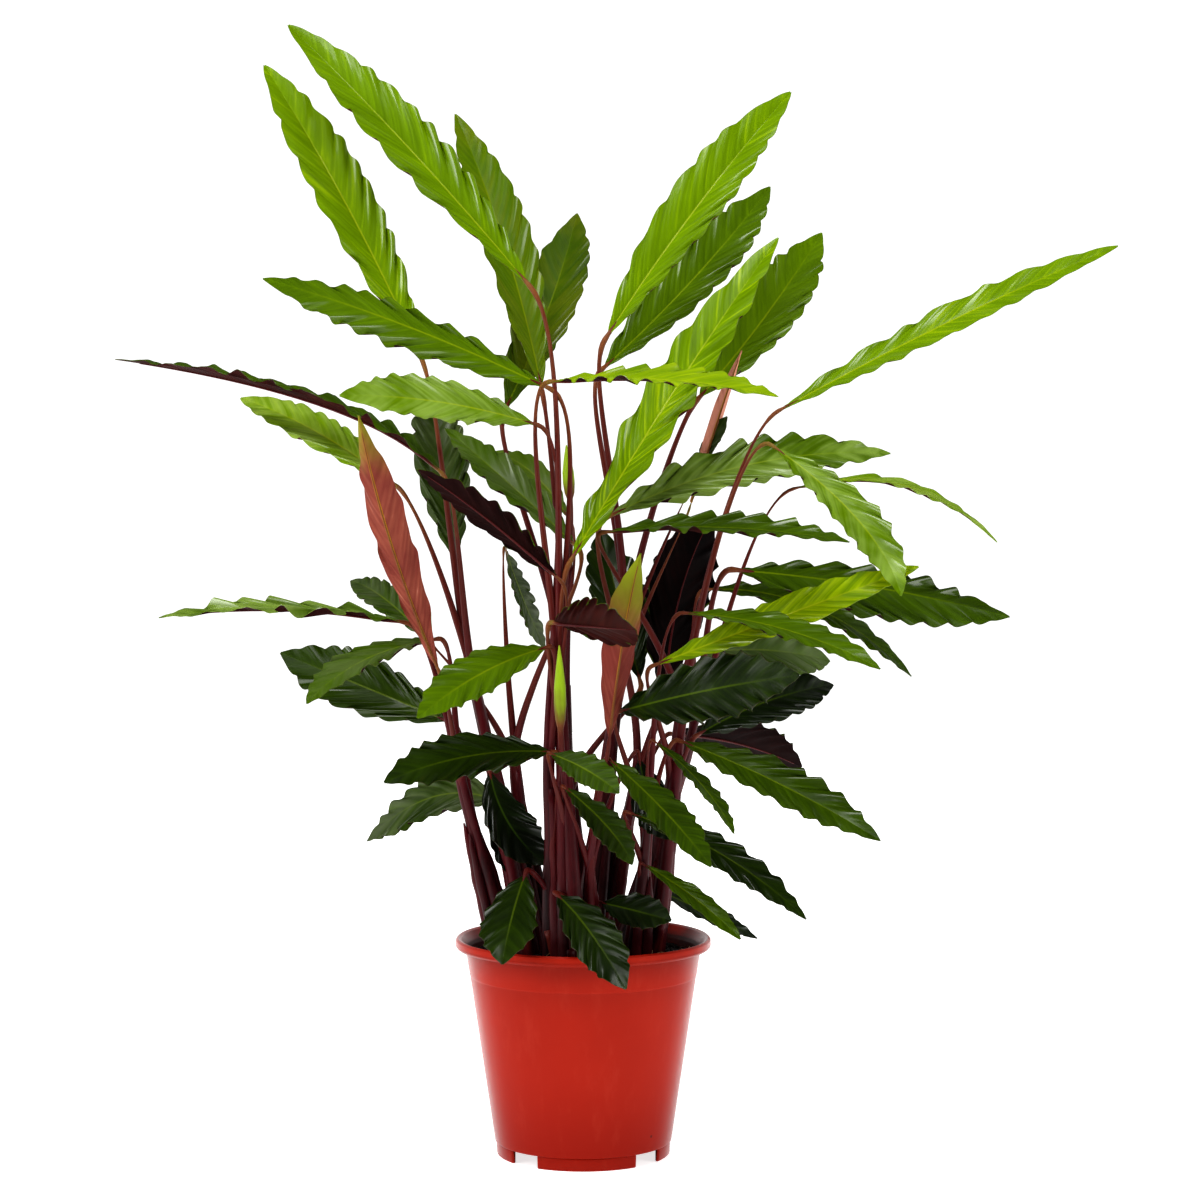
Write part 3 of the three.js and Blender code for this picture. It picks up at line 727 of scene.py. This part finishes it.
class Blade:
    """The shape of one leaf's sheet."""

    def __init__(self, row, seed, waviness):
        width, tilt, fold, self.kind, self.tone = row[3:]
        wave, self.wave_fade, pace, fringe, scallop, self.taper = KINDS[self.kind][:6]
        self.top_tone, self.under_tone, self.rib_tone = KINDS[self.kind][6:]
        self.rib = Rib(row[:3], tilt)
        self.width = width * MM
        self.fold = radians(fold)
        self.seed = seed
        self.steps = max(6, round(self.rib.length / BLADE_STEP))
        self.fringe = fringe * MM
        self.wave = waviness * (wave * MM) * min(self.width / WIDE_BLADE, 1.1)
        self.scallop = scallop * MM * min(self.width / WIDE_BLADE + 0.2, 1.1)
        self.scallop *= min(1.5, 0.6 + 0.5 * waviness) if waviness else 0
        self.root_slant = min(ROOT_SLANT, 0.45 * self.rib.length / self.width)
        strong = waviness > STRONG_WAVES
        wave_length = (WAVE_LENGTH + WAVE_GROWTH * self.rib.length) * (1.3 if strong else 1)
        self.reach_in = 1.1 if strong and self.kind != "young" else 1.6
        self.waves = [self.rib.length / wave_length * times for times in pace]
        self.strength = [min(1.15, wave_length / (FULL_WAVE * times)) for times in pace]

    def half_width(self, share):
        swell = max(0, sin(pi * share**1.02)) ** 0.68
        tipward = max(0, (share - TIP_START) / (1 - TIP_START))
        swell *= cos(pi / 2 * min(tipward, 1)) ** self.taper
        return max(mix(*BLADE_END_WIDTHS, share) / 2, self.width / 2 * swell)

    def wander(self, share, channel):
        return noise.noise(Vector((share * 5, self.seed * 7.3, channel * 3.1)))

    def row(self, share):
        """What all points of one row across the sheet share."""
        row = types.SimpleNamespace(share=share, half=self.half_width(share))
        row.full = max(0, min(1, 4 * row.half / self.width - 0.2))
        row.calm = row.full * (1 - self.wave_fade * ease(0.5, 0.95, share))
        row.pleats = (share + 0.01 * self.wander(share * 2, 9)) * self.rib.length / PLEAT_LENGTH
        fade = row.full * (1 - 0.5 * ease(0.75, 1, share))
        row.beat, row.fringe, row.sag, row.swing, row.notch = [], [], [], [], []
        for side in (0, 1):
            late = 2.2 * self.wander(share * 1.6, 1 + side)
            row.beat.append(tau * share * self.waves[side] + late + pi * side)
            row.fringe.append(0.6 + 1.4 * self.wander(share * 2.3, 11 + side))
            row.sag.append(2 * MM * self.wander(share, 7 + side))
            swing = 0.9 + 1.4 * self.wander(share * 1.6, 4 + 9 * side)
            row.swing.append(row.calm * min(1.25, max(0.25, swing)) * self.strength[side])
            notch = 1 + 1.2 * self.wander(share * 2.6, 22 + side)
            row.notch.append(fade * min(1.3, max(0.55, notch)) * self.strength[side])
        return row

    def place(self, row, across):
        """The sheet's point in this row, with across from -1 at one edge to 1 at the other."""
        edge = abs(across)
        side = 1 if across > 0 else 0
        share = row.share
        behind = min(self.root_slant * row.half, 0.7 * share * self.rib.length)
        distance = share * self.rib.length - behind * (1 - 0.85 * edge - 0.15 * edge * edge)
        distance += EDGE_SLANT * row.half * (1 - share**4) * (0.5 * edge + 0.5 * edge * edge)
        point, _, normal, sideways = self.rib.frame(distance)
        raised = edge**1.6 if self.kind == "young" else 1.5 * edge - 0.5 * edge * edge
        lift = row.half * sin(self.fold) * raised
        lift += self.wave * row.swing[side] * cos(row.beat[side]) * edge**self.reach_in
        fringe = self.fringe * row.full * row.fringe[side] * edge**4
        lift += fringe * cos(tau * row.pleats + 2 * across)
        pleat = 0.5 - 0.5 * cos(tau * row.pleats)
        inner = ease(0.03, 0.25, edge) * (1 - 0.6 * ease(0.8, 1, edge))
        lift -= PLEAT_DEPTH * pleat * row.full * inner
        lift -= GROOVE_DEPTH * exp(-((edge * row.half / GROOVE_WIDTH) ** 2)) * (1 - share)
        lift += row.sag[side] * edge * row.full
        reach = row.half * cos(self.fold)
        turn = row.beat[side] / 2 + LOBE_SHIFT
        lobe = sqrt(LOBE_ROUNDNESS + cos(turn) ** 2) - LOBE_MIDDLE
        reach += LOBE_REACH * self.scallop * row.notch[side] * edge**3 * lobe
        return point + normal * lift + sideways * copysign(reach * edge, across)


def make_leaf(name, blade, finishes, slot):
    """One leaf, with what its materials need to know at each point."""
    bm = bmesh.new()
    kinds = ("share", "across", "half_width", "pleat", "crest", "tone", "under")
    layers = [bm.verts.layers.float.new(kind) for kind in kinds]
    rows = blade.steps * ROWS_PER_STEP
    bmesh.ops.create_grid(bm, x_segments=rows, y_segments=2 * BLADE_COLUMNS, size=1)
    shown_under = name in UNDERSIDES
    under = blade.tone if shown_under else blade.under_tone
    tone = blade.top_tone if shown_under else blade.tone
    known = [blade.row(i / rows) for i in range(rows + 1)]
    for vert in bm.verts:
        share = (vert.co.x + 1) / 2
        row = known[round(share * rows)]
        edge = abs(vert.co.y)
        spread = mix(edge, (1 - cos(pi * edge)) / 2, 0.5)
        across = -copysign(spread, vert.co.y)
        crest = cos(row.beat[across > 0]) * min(1, row.swing[across > 0])
        values = (share, across, row.half, row.pleats, crest, tone, under)
        for layer, value in zip(layers, values):
            vert[layer] = value
        vert.co = blade.place(row, across)
    smooth(bm)
    for edge in bm.edges:
        edge.smooth = not edge.is_boundary
    nodes = [] if name in SMALL_LEAVES else ["blade_" + name]
    leaf = new_piece("leaf_" + name, bm, finishes, slot, *nodes)
    shell = leaf.modifiers.new("thickness", "SOLIDIFY")
    shell.thickness = BLADE_THICKNESS
    shell.offset = 0
    shell.material_offset = 1
    shell.material_offset_rim = 0


def make_leaves():
    finishes = {name: finish for finish, names in FINISHES.items() for name in names}
    under = leaf_under()
    tops = {name: leaf_top("leaf_top_" + name, *row) for name, row in TOPS.items()}
    for name, blade in BLADES.items():
        top = tops[finishes.get(name, blade.kind)]
        make_leaf(name, blade, (top, under), "leaf_" + blade.kind)


# Stems and stalks


def stem_ends(clump, letter):
    """Where a stem starts in the compost, and where its stalks part."""
    (x, y), first_angle, letters = CLUMPS[clump]
    angle = radians(first_angle + 120 * letters.index(letter))
    foot = Vector((x * MM, y * MM, SOIL_TOP - CROWN_DROP - CROWN_HEIGHT / 2))
    foot += outward(angle) * STEM_CIRCLE
    names = [name for name in LEAVES if name[0] == letter and name not in SMALL_LEAVES]
    joints = [seen(LEAVES[name][0]) for name in names]
    mean = sum(joints, Vector()) / len(joints)
    return foot, mix(foot, mean, STEM_SHARE)


def stalk_points(foot, top, end, direction):
    """The bend of a stalk, from inside its stem to its end."""
    share = 0.55 * (end.z - foot.z) / (top.z - foot.z)
    start = mix(foot, top, min(max(share, 0.2), 0.97))
    reach = (end - start).length
    lean = (top - foot).normalized()
    corners = [start, start + lean * (0.35 * reach), end - direction * (0.15 * reach), end]
    return [bezier(corners, share) for share in shares(STALK_STEPS)]


def sheathed_run(foot, top, points, place, rng):
    """Adds the lower run of a stalk, from the soil up along its stem, in its sheath."""
    turn = 2.4 * place + rng.uniform(-0.5, 0.5)
    out = outward(turn) * rng.uniform(6.5, 9.5) * MM
    start = points[0]
    share = (start.z - foot.z) / (top.z - foot.z)
    sheath_end = rng.uniform(0.55, 0.9)
    lower = []
    radii = []
    for i in range(SHEATH_STEPS):
        rise = i / SHEATH_STEPS
        lower.append(mix(foot, top, share * rise) + out * (1 - 0.75 * ease(0, 1, rise)))
        radii.append(mix(*SHEATH_RADII, rise) if rise < sheath_end else BARE_RADIUS)
    for i in range(EASED_STEPS):
        points[i] = points[i] + out * (0.25 * (1 - i / EASED_STEPS))
    return lower + points, radii


def add_stalk(bm, foot, top, blade, place, rng):
    """A stalk with its knee, which goes on under the blade as the midrib."""
    hue = rng.uniform(-0.09, 0.09)
    thin = KNEE_PER_WIDTH * rng.uniform(0.78, 1.05) * blade.width / MM
    joint, along, _, _ = blade.rib.frame(0)
    end = joint - along * STALK_GAP
    points = stalk_points(foot, top, end - along * STALK_NECK, along)
    points, radii = sheathed_run(foot, top, points, place, rng)
    tones = [mix(FOOT_TONE, STALK_TONE, i / len(radii)) + hue for i in range(len(radii))]
    upper = points[len(radii) :]
    lengths = [0.0]
    for a, b in zip(upper, upper[1:]):
        lengths.append(lengths[-1] + (b - a).length)
    knee_tone = mix(*KNEE_TONES, ease(*KNEE_HEIGHTS, joint.z))
    for i, length in enumerate(lengths):
        share = i / (len(upper) - 1)
        knee = ease(KNEE_LENGTH, 0.5 * KNEE_LENGTH, lengths[-1] - length)
        radii.append(mix(STALK_RADIUS, thin, min(1, 1.3 * share)) + KNEE_BULGE * knee)
        tones.append(mix(STALK_TONE, knee_tone, share) + 0.05 * knee + hue)
    points.append(end)
    radii.append(thin)
    tones.append(tones[-1])
    for i in range(1, RIB_STEPS + 1):
        share = i / RIB_STEPS
        radius = mix(*RIB_RADII, share)
        point, _, normal, _ = blade.rib.frame(mix(4 * MM, 0.93 * blade.rib.length, share))
        sunk = GROOVE_DEPTH * (1 - share) + BLADE_THICKNESS / 2
        points.append(point - normal * (sunk + 0.75 * radius * MM))
        radii.append(radius)
        tones.append(blade.rib_tone)
    sweep(bm, points, [radius * MM for radius in radii], STALK_SIDES, tones)


def add_shoot(bm, foot, top, ends):
    """A leaf that is still rolled up, on its stalk."""
    base, tip = (seen(end) for end in ends)
    along = (tip - base).normalized()
    points = stalk_points(foot, top, base, along)
    radii = [mix(*SHOOT_RADII, share) * MM for share in shares(STALK_STEPS)]
    tones = [mix(*SHOOT_TONES, share**3) for share in shares(STALK_STEPS)]
    for share, radius, tone in SPIKE:
        points.append(mix(base, tip, share))
        radii.append(radius * MM)
        tones.append(tone)
    sweep(bm, points, radii, SHOOT_SIDES, tones)


def make_stalks(clump, skin):
    """The stems of one clump with all their stalks, sheaths, shoots and stubs."""
    rng = random.Random("stalks " + clump)
    bm = bmesh.new()
    for letter in CLUMPS[clump][2]:
        foot, top = stem_ends(clump, letter)
        rises = shares(STEM_STEPS)
        points = [mix(foot, top, rise) for rise in rises]
        radii = [mix(*STEM_RADII, rise) for rise in rises]
        sweep(bm, points, radii, STEM_SIDES, [mix(*STEM_TONES, rise) for rise in rises])
        for name, blade in BLADES.items():
            if name[0] == letter:
                add_stalk(bm, foot, top, blade, int(name[1]), rng)
        for _ in range(SHEATHS):
            add_sheath(bm, foot, top, rng)
        if letter in SHOOTS:
            add_shoot(bm, foot, top, SHOOTS[letter])
    for _ in range(STUBS):
        add_stub(bm, CLUMPS[clump][0], rng)
    new_piece("drawn_stalks_" + clump, bm, (skin,), "stalk", "stalks_" + clump)


def add_sheath(bm, foot, top, rng):
    """An old sheath that stands against its stem and ends in a point."""
    turn = rng.uniform(0, tau)
    out = outward(turn) * rng.uniform(7, 13) * MM
    height = rng.uniform(0.35, 0.85)
    rises = shares(OLD_SHEATH_STEPS)
    points = [mix(foot, top, height * rise) + out * (1 - 0.4 * rise) for rise in rises]
    radii = [rng.uniform(4, 5.6) * MM * (1 - rise**4 * 0.85) for rise in rises]
    sweep(bm, points, radii, STALK_SIDES, [rng.uniform(0.05, 0.28)] * len(rises))


def add_stub(bm, centre, rng):
    """A cut or withered sheath at the foot of the stems."""
    angle = rng.uniform(0, tau)
    out = outward(angle)
    foot = Vector((centre[0] * MM, centre[1] * MM, SOIL_TOP - 6 * MM))
    foot += out * rng.uniform(10, 21) * MM
    lean = (UP + out * rng.uniform(0.05, 0.4)).normalized()
    height = rng.uniform(14, 42) * MM
    rises = shares(STUB_STEPS)
    points = [foot + lean * (height * rise) for rise in rises]
    radii = [rng.uniform(3.2, 4.6) * MM * mix(1, 0.75, rise) for rise in rises]
    sweep(bm, points, radii, STALK_SIDES, [rng.uniform(0.05, 0.5)] * len(rises))


# Pot and compost


def wall_radius(height):
    """The outer radius of the pot's body."""
    share = (height - FOOT_HEIGHT) / (LIP_BOTTOM - FOOT_HEIGHT)
    return mix(BODY_FOOT_RADIUS, BODY_TOP_RADIUS, share)


def spin(bm, geom, angle, steps):
    """Spins edges or faces around the upright axis, and closes a full turn."""
    whole = angle == tau
    bmesh.ops.spin(
        bm, geom=geom, cent=(0, 0, 0), axis=(0, 0, 1), angle=angle, steps=steps, use_merge=whole
    )


def spun(bm, outline, angle=tau, start=0.0, rounding=0.0):
    """Spins a closed outline of radius and height around the upright axis."""
    verts = []
    for radius, height in outline:
        verts.append(bm.verts.new((radius * sin(start), -radius * cos(start), height)))
    face = bm.faces.new(verts)
    if rounding:
        bmesh.ops.bevel(
            bm, geom=verts, affect="VERTICES", offset=rounding, segments=3, profile=0.5, material=-1
        )
        face = max(bm.faces, key=lambda f: len(f.verts))
    geom = [face]
    if angle == tau:
        geom = list(face.edges)
        bmesh.ops.delete(bm, geom=[face], context="FACES_ONLY")
    spin(bm, geom, angle, max(8, round(POT_STEPS * angle / tau)))


def make_pot(plastic):
    """The pot: a turned wall, four pieces of foot ring and a floor."""
    bm = bmesh.new()
    low = wall_radius(FLOOR_TOP)
    wall = (
        (low - 2 * POT_WALL, FOOT_HEIGHT),
        (FOOT_RADIUS + 0.2 * MM, FOOT_HEIGHT),
        (FOOT_RADIUS + 1.4 * MM, FOOT_HEIGHT + 0.8 * MM),
        (low, FLOOR_TOP + 1 * MM),
        (wall_radius(FLOOR_TOP + 4 * MM), FLOOR_TOP + 5 * MM),
        (wall_radius(BAND_BOTTOM - 4 * MM) - 0.4 * BAND_STEP, BAND_BOTTOM - 4 * MM),
        (wall_radius(BAND_BOTTOM - 1 * MM) - 0.4 * BAND_STEP, BAND_BOTTOM - 1 * MM),
        (wall_radius(BAND_BOTTOM), BAND_BOTTOM),
        (wall_radius(BAND_BOTTOM + 3 * MM), BAND_BOTTOM + 3 * MM),
        (BODY_TOP_RADIUS, LIP_BOTTOM),
        (RIM_RADIUS - 1.6 * MM, LIP_BOTTOM + 0.4 * MM),
        (RIM_RADIUS, LIP_BOTTOM + 2.4 * MM),
        (RIM_RADIUS - 0.3 * MM, POT_HEIGHT - 1.6 * MM),
        (RIM_RADIUS - 2 * MM, POT_HEIGHT),
        (RIM_RADIUS - 5 * MM, POT_HEIGHT - 1.3 * MM),
        (BODY_TOP_RADIUS - POT_WALL, LIP_BOTTOM - 2 * MM),
        (low - POT_WALL, FLOOR_TOP),
        (low - 2 * POT_WALL, FLOOR_TOP),
    )
    spun(bm, wall, rounding=WALL_ROUNDING)
    foot = (
        (FOOT_RADIUS - FOOT_WALL, FOOT_HEIGHT + 0.5 * MM),
        (FOOT_RADIUS - FOOT_WALL, 0),
        (FOOT_RADIUS, 0),
        (FOOT_RADIUS + 0.5 * MM, FOOT_HEIGHT + 0.5 * MM),
    )
    gap = FOOT_GAP_WIDTH / FOOT_RADIUS
    for angle in FOOT_GAP_ANGLES:
        part = bmesh.new()
        spun(part, foot, pi / 2 - gap, radians(angle) + gap / 2)
        bmesh.ops.recalc_face_normals(part, faces=part.faces)
        sharp = [edge for edge in part.edges if edge.calc_face_angle(0) > ROUNDED_ANGLE]
        bmesh.ops.bevel(
            part, geom=sharp, affect="EDGES", offset=FOOT_ROUNDING, segments=3, profile=0.5, material=-1
        )
        joined_mesh(bm, part)
    joined_mesh(bm, pot_floor())
    bmesh.ops.remove_doubles(bm, verts=bm.verts, dist=1e-6)
    bmesh.ops.recalc_face_normals(bm, faces=bm.faces)
    smooth(bm)
    for edge in bm.edges:
        edge.smooth = edge.calc_face_angle(0) < SHADED_ANGLE
    new_piece("moulded_pot", bm, (plastic,), "pot_plastic", "pot")


def joined_mesh(bm, part):
    """Adds the part to the mesh, and frees it."""
    mesh = mesh_of("part", part)
    bm.from_mesh(mesh)
    bpy.data.meshes.remove(mesh)


def pot_floor():
    """The pot's floor, with its drain holes."""
    part = bmesh.new()
    radius = wall_radius(FLOOR_TOP) - 1.5 * POT_WALL
    bmesh.ops.create_circle(part, segments=96, radius=radius)
    for k in range(DRAIN_HOLES):
        angle = tau * k / DRAIN_HOLES
        hole = Matrix.Translation((DRAIN_CIRCLE * cos(angle), DRAIN_CIRCLE * sin(angle), 0))
        bmesh.ops.create_circle(part, segments=20, radius=DRAIN_RADIUS, matrix=hole)
    bmesh.ops.triangle_fill(part, use_beauty=True, use_dissolve=False, edges=part.edges)
    lifted = bmesh.ops.extrude_face_region(part, geom=part.faces[:], use_keep_orig=True)["geom"]
    top = [item for item in lifted if isinstance(item, bmesh.types.BMVert)]
    bmesh.ops.translate(part, verts=top, vec=(0, 0, FLOOR_THICKNESS * 0.9))
    bmesh.ops.translate(part, verts=part.verts, vec=(0, 0, FOOT_HEIGHT + 0.05 * FLOOR_THICKNESS))
    bmesh.ops.recalc_face_normals(part, faces=part.faces)
    return part


def soil_height(x, y):
    """The uneven top of the compost, raised around the clumps."""
    far = hypot(x, y) / (BODY_TOP_RADIUS - POT_WALL)
    height = SOIL_TOP - SOIL_EDGE_DROP * far
    for rise, fineness, seed in SOIL_LAYERS:
        height += rise * noise.noise(Vector((x * fineness, y * fineness, seed)))
    for (cx, cy), _, _ in CLUMPS.values():
        away = (x - cx * MM) ** 2 + (y - cy * MM) ** 2
        height += MOUND_HEIGHT * exp(-(away / MOUND_RADIUS**2))
    return height


def make_bed(soil, rng):
    """The compost in the pot, with crumbs on top."""
    inset = POT_WALL + TOUCHING_GAP
    bottom = FLOOR_TOP + TOUCHING_GAP
    edge = SOIL_TOP - SOIL_EDGE_DROP
    bm = bmesh.new()
    line = [bm.verts.new((0, 0, bottom)), bm.verts.new((wall_radius(bottom) - inset, 0, bottom))]
    for i in range(SOIL_RINGS + 1):
        radius = (wall_radius(edge) - inset) * (1 - i / SOIL_RINGS)
        line.append(bm.verts.new((radius, 0, edge + 1 * MM)))
    for a, b in zip(line, line[1:]):
        bm.edges.new((a, b))
    spin(bm, bm.edges[:], tau, SOIL_STEPS)
    bmesh.ops.remove_doubles(bm, verts=bm.verts, dist=1e-6)
    for vert in bm.verts:
        if vert.co.z > edge:
            vert.co.z = soil_height(vert.co.x, vert.co.y)
    bmesh.ops.recalc_face_normals(bm, faces=bm.faces)
    for _ in range(CRUMBS):
        angle = rng.uniform(0, tau)
        far = sqrt(rng.random()) * CRUMB_CIRCLE * MM
        x, y = far * cos(angle), far * sin(angle)
        size = rng.choice(CRUMB_SIZES) * MM
        shape = Matrix.Diagonal((size * rng.uniform(0.7, 1.6), size, size * rng.uniform(0.5, 1), 1))
        turn = rng.uniform(0, pi)
        axis = Vector((rng.random(), rng.random(), rng.random() + 0.1))
        spot = Matrix.Translation((x, y, soil_height(x, y) + 0.3 * size))
        matrix = spot @ Matrix.Rotation(turn, 4, axis) @ shape
        bmesh.ops.create_icosphere(bm, subdivisions=1, radius=1, matrix=matrix)
    smooth(bm)
    new_piece("compost_bed", bm, (soil,), "compost", "soil")


def make_roots(root, rng):
    """Ends of roots that arch out of the compost, most of them in front."""
    bm = bmesh.new()
    for _ in range(ROOTS):
        angle = rng.uniform(-2.2, 0.4) if rng.random() < 0.7 else rng.uniform(0, tau)
        far = rng.uniform(50, 86) * MM
        heading = rng.uniform(0, tau)
        x, y = far * cos(angle), far * sin(angle)
        arch = rng.uniform(0.5, 7) * MM
        points = []
        for share in shares(ROOT_STEPS):
            heading += rng.uniform(-0.5, 0.5)
            x += ROOT_STRIDE * cos(heading)
            y += ROOT_STRIDE * sin(heading)
            if hypot(x, y) > ROOT_CIRCLE:
                heading += 1.6
                x *= 0.97
                y *= 0.97
            rise = arch * sin(pi * share) - 0.2 * MM
            points.append(Vector((x, y, soil_height(x, y) + rise)))
        radius = rng.uniform(0.3, 0.6) * MM
        radii = [radius * mix(1, 0.5, share) for share in shares(ROOT_STEPS)]
        sweep(bm, points, radii, ROOT_SIDES)
    new_piece("root_fibres", bm, (root,), "compost")


# Studio


def aimed(piece, place, target):
    """Puts a camera or light in its place and turns it to the target."""
    piece.location = place
    piece.rotation_euler = (Vector(target) - Vector(place)).to_track_quat("-Z", "Y").to_euler()


def make_camera():
    camera = bpy.data.cameras.new("camera")
    camera.lens = LENS
    camera.sensor_width = 36
    camera.clip_end = 200
    piece = added("camera", camera)
    aimed(piece, EYE, AIM)
    bpy.context.scene.camera = piece


def make_light(name, place, power):
    lamp = bpy.data.lights.new(name, "AREA")
    lamp.shape = "SQUARE"
    lamp.size = LIGHT_SIZE
    lamp.energy = power
    aimed(added(name, lamp), place, (0, 0, 0.5))


def make_studio():
    """Soft light on a pale floor, under a sky that is white to the camera."""
    scene = bpy.context.scene
    scene.view_settings.view_transform = "Standard"
    scene.view_settings.look = "Medium High Contrast"
    world = bpy.data.worlds.new("studio")
    world.use_nodes = True
    scene.world = world
    sky = Board(world.node_tree)
    heading = sky.node("TexCoord", None, None, "Generated")
    depth = sky.node("SeparateXYZ", None, {"Vector": heading}, "Y")
    height = sky.node("SeparateXYZ", None, {"Vector": heading}, "Z")
    shade = sky.between(depth, -0.4, 0.5) * sky.between(height, 0.75, 0.3)
    shade = sky.maths("MAXIMUM", shade, sky.node("LightPath", None, None, "Is Camera Ray"))
    light = sky.blend(shade, (0.1, 0.1, 0.1, 1), (1, 1, 1, 1))
    sky.plug(world.node_tree.nodes["Background"].inputs["Color"], light)
    for light_row in LIGHTS:
        make_light(*light_row)
    bm = bmesh.new()
    bmesh.ops.create_circle(bm, cap_ends=True, segments=96, radius=FLOOR_RADIUS)
    floor = added("floor", mesh_of("floor", bm, (floor_paint(),)))


# The whole plant


for left_over in list(bpy.data.objects):
    bpy.data.objects.remove(left_over)
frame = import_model()
make_camera()
BLADES = {}
for name, row in LEAVES.items():
    BLADES[name] = Blade(row, len(BLADES), WAVINESS.get(name, 1))
make_leaves()
skin = stalk_skin()
for clump in CLUMPS:
    make_stalks(clump, skin)
make_pot(pot_plastic())
compost_rng = random.Random(COMPOST_SEED)
make_bed(compost_soil(), compost_rng)
make_roots(root_fibre(), compost_rng)
make_studio()
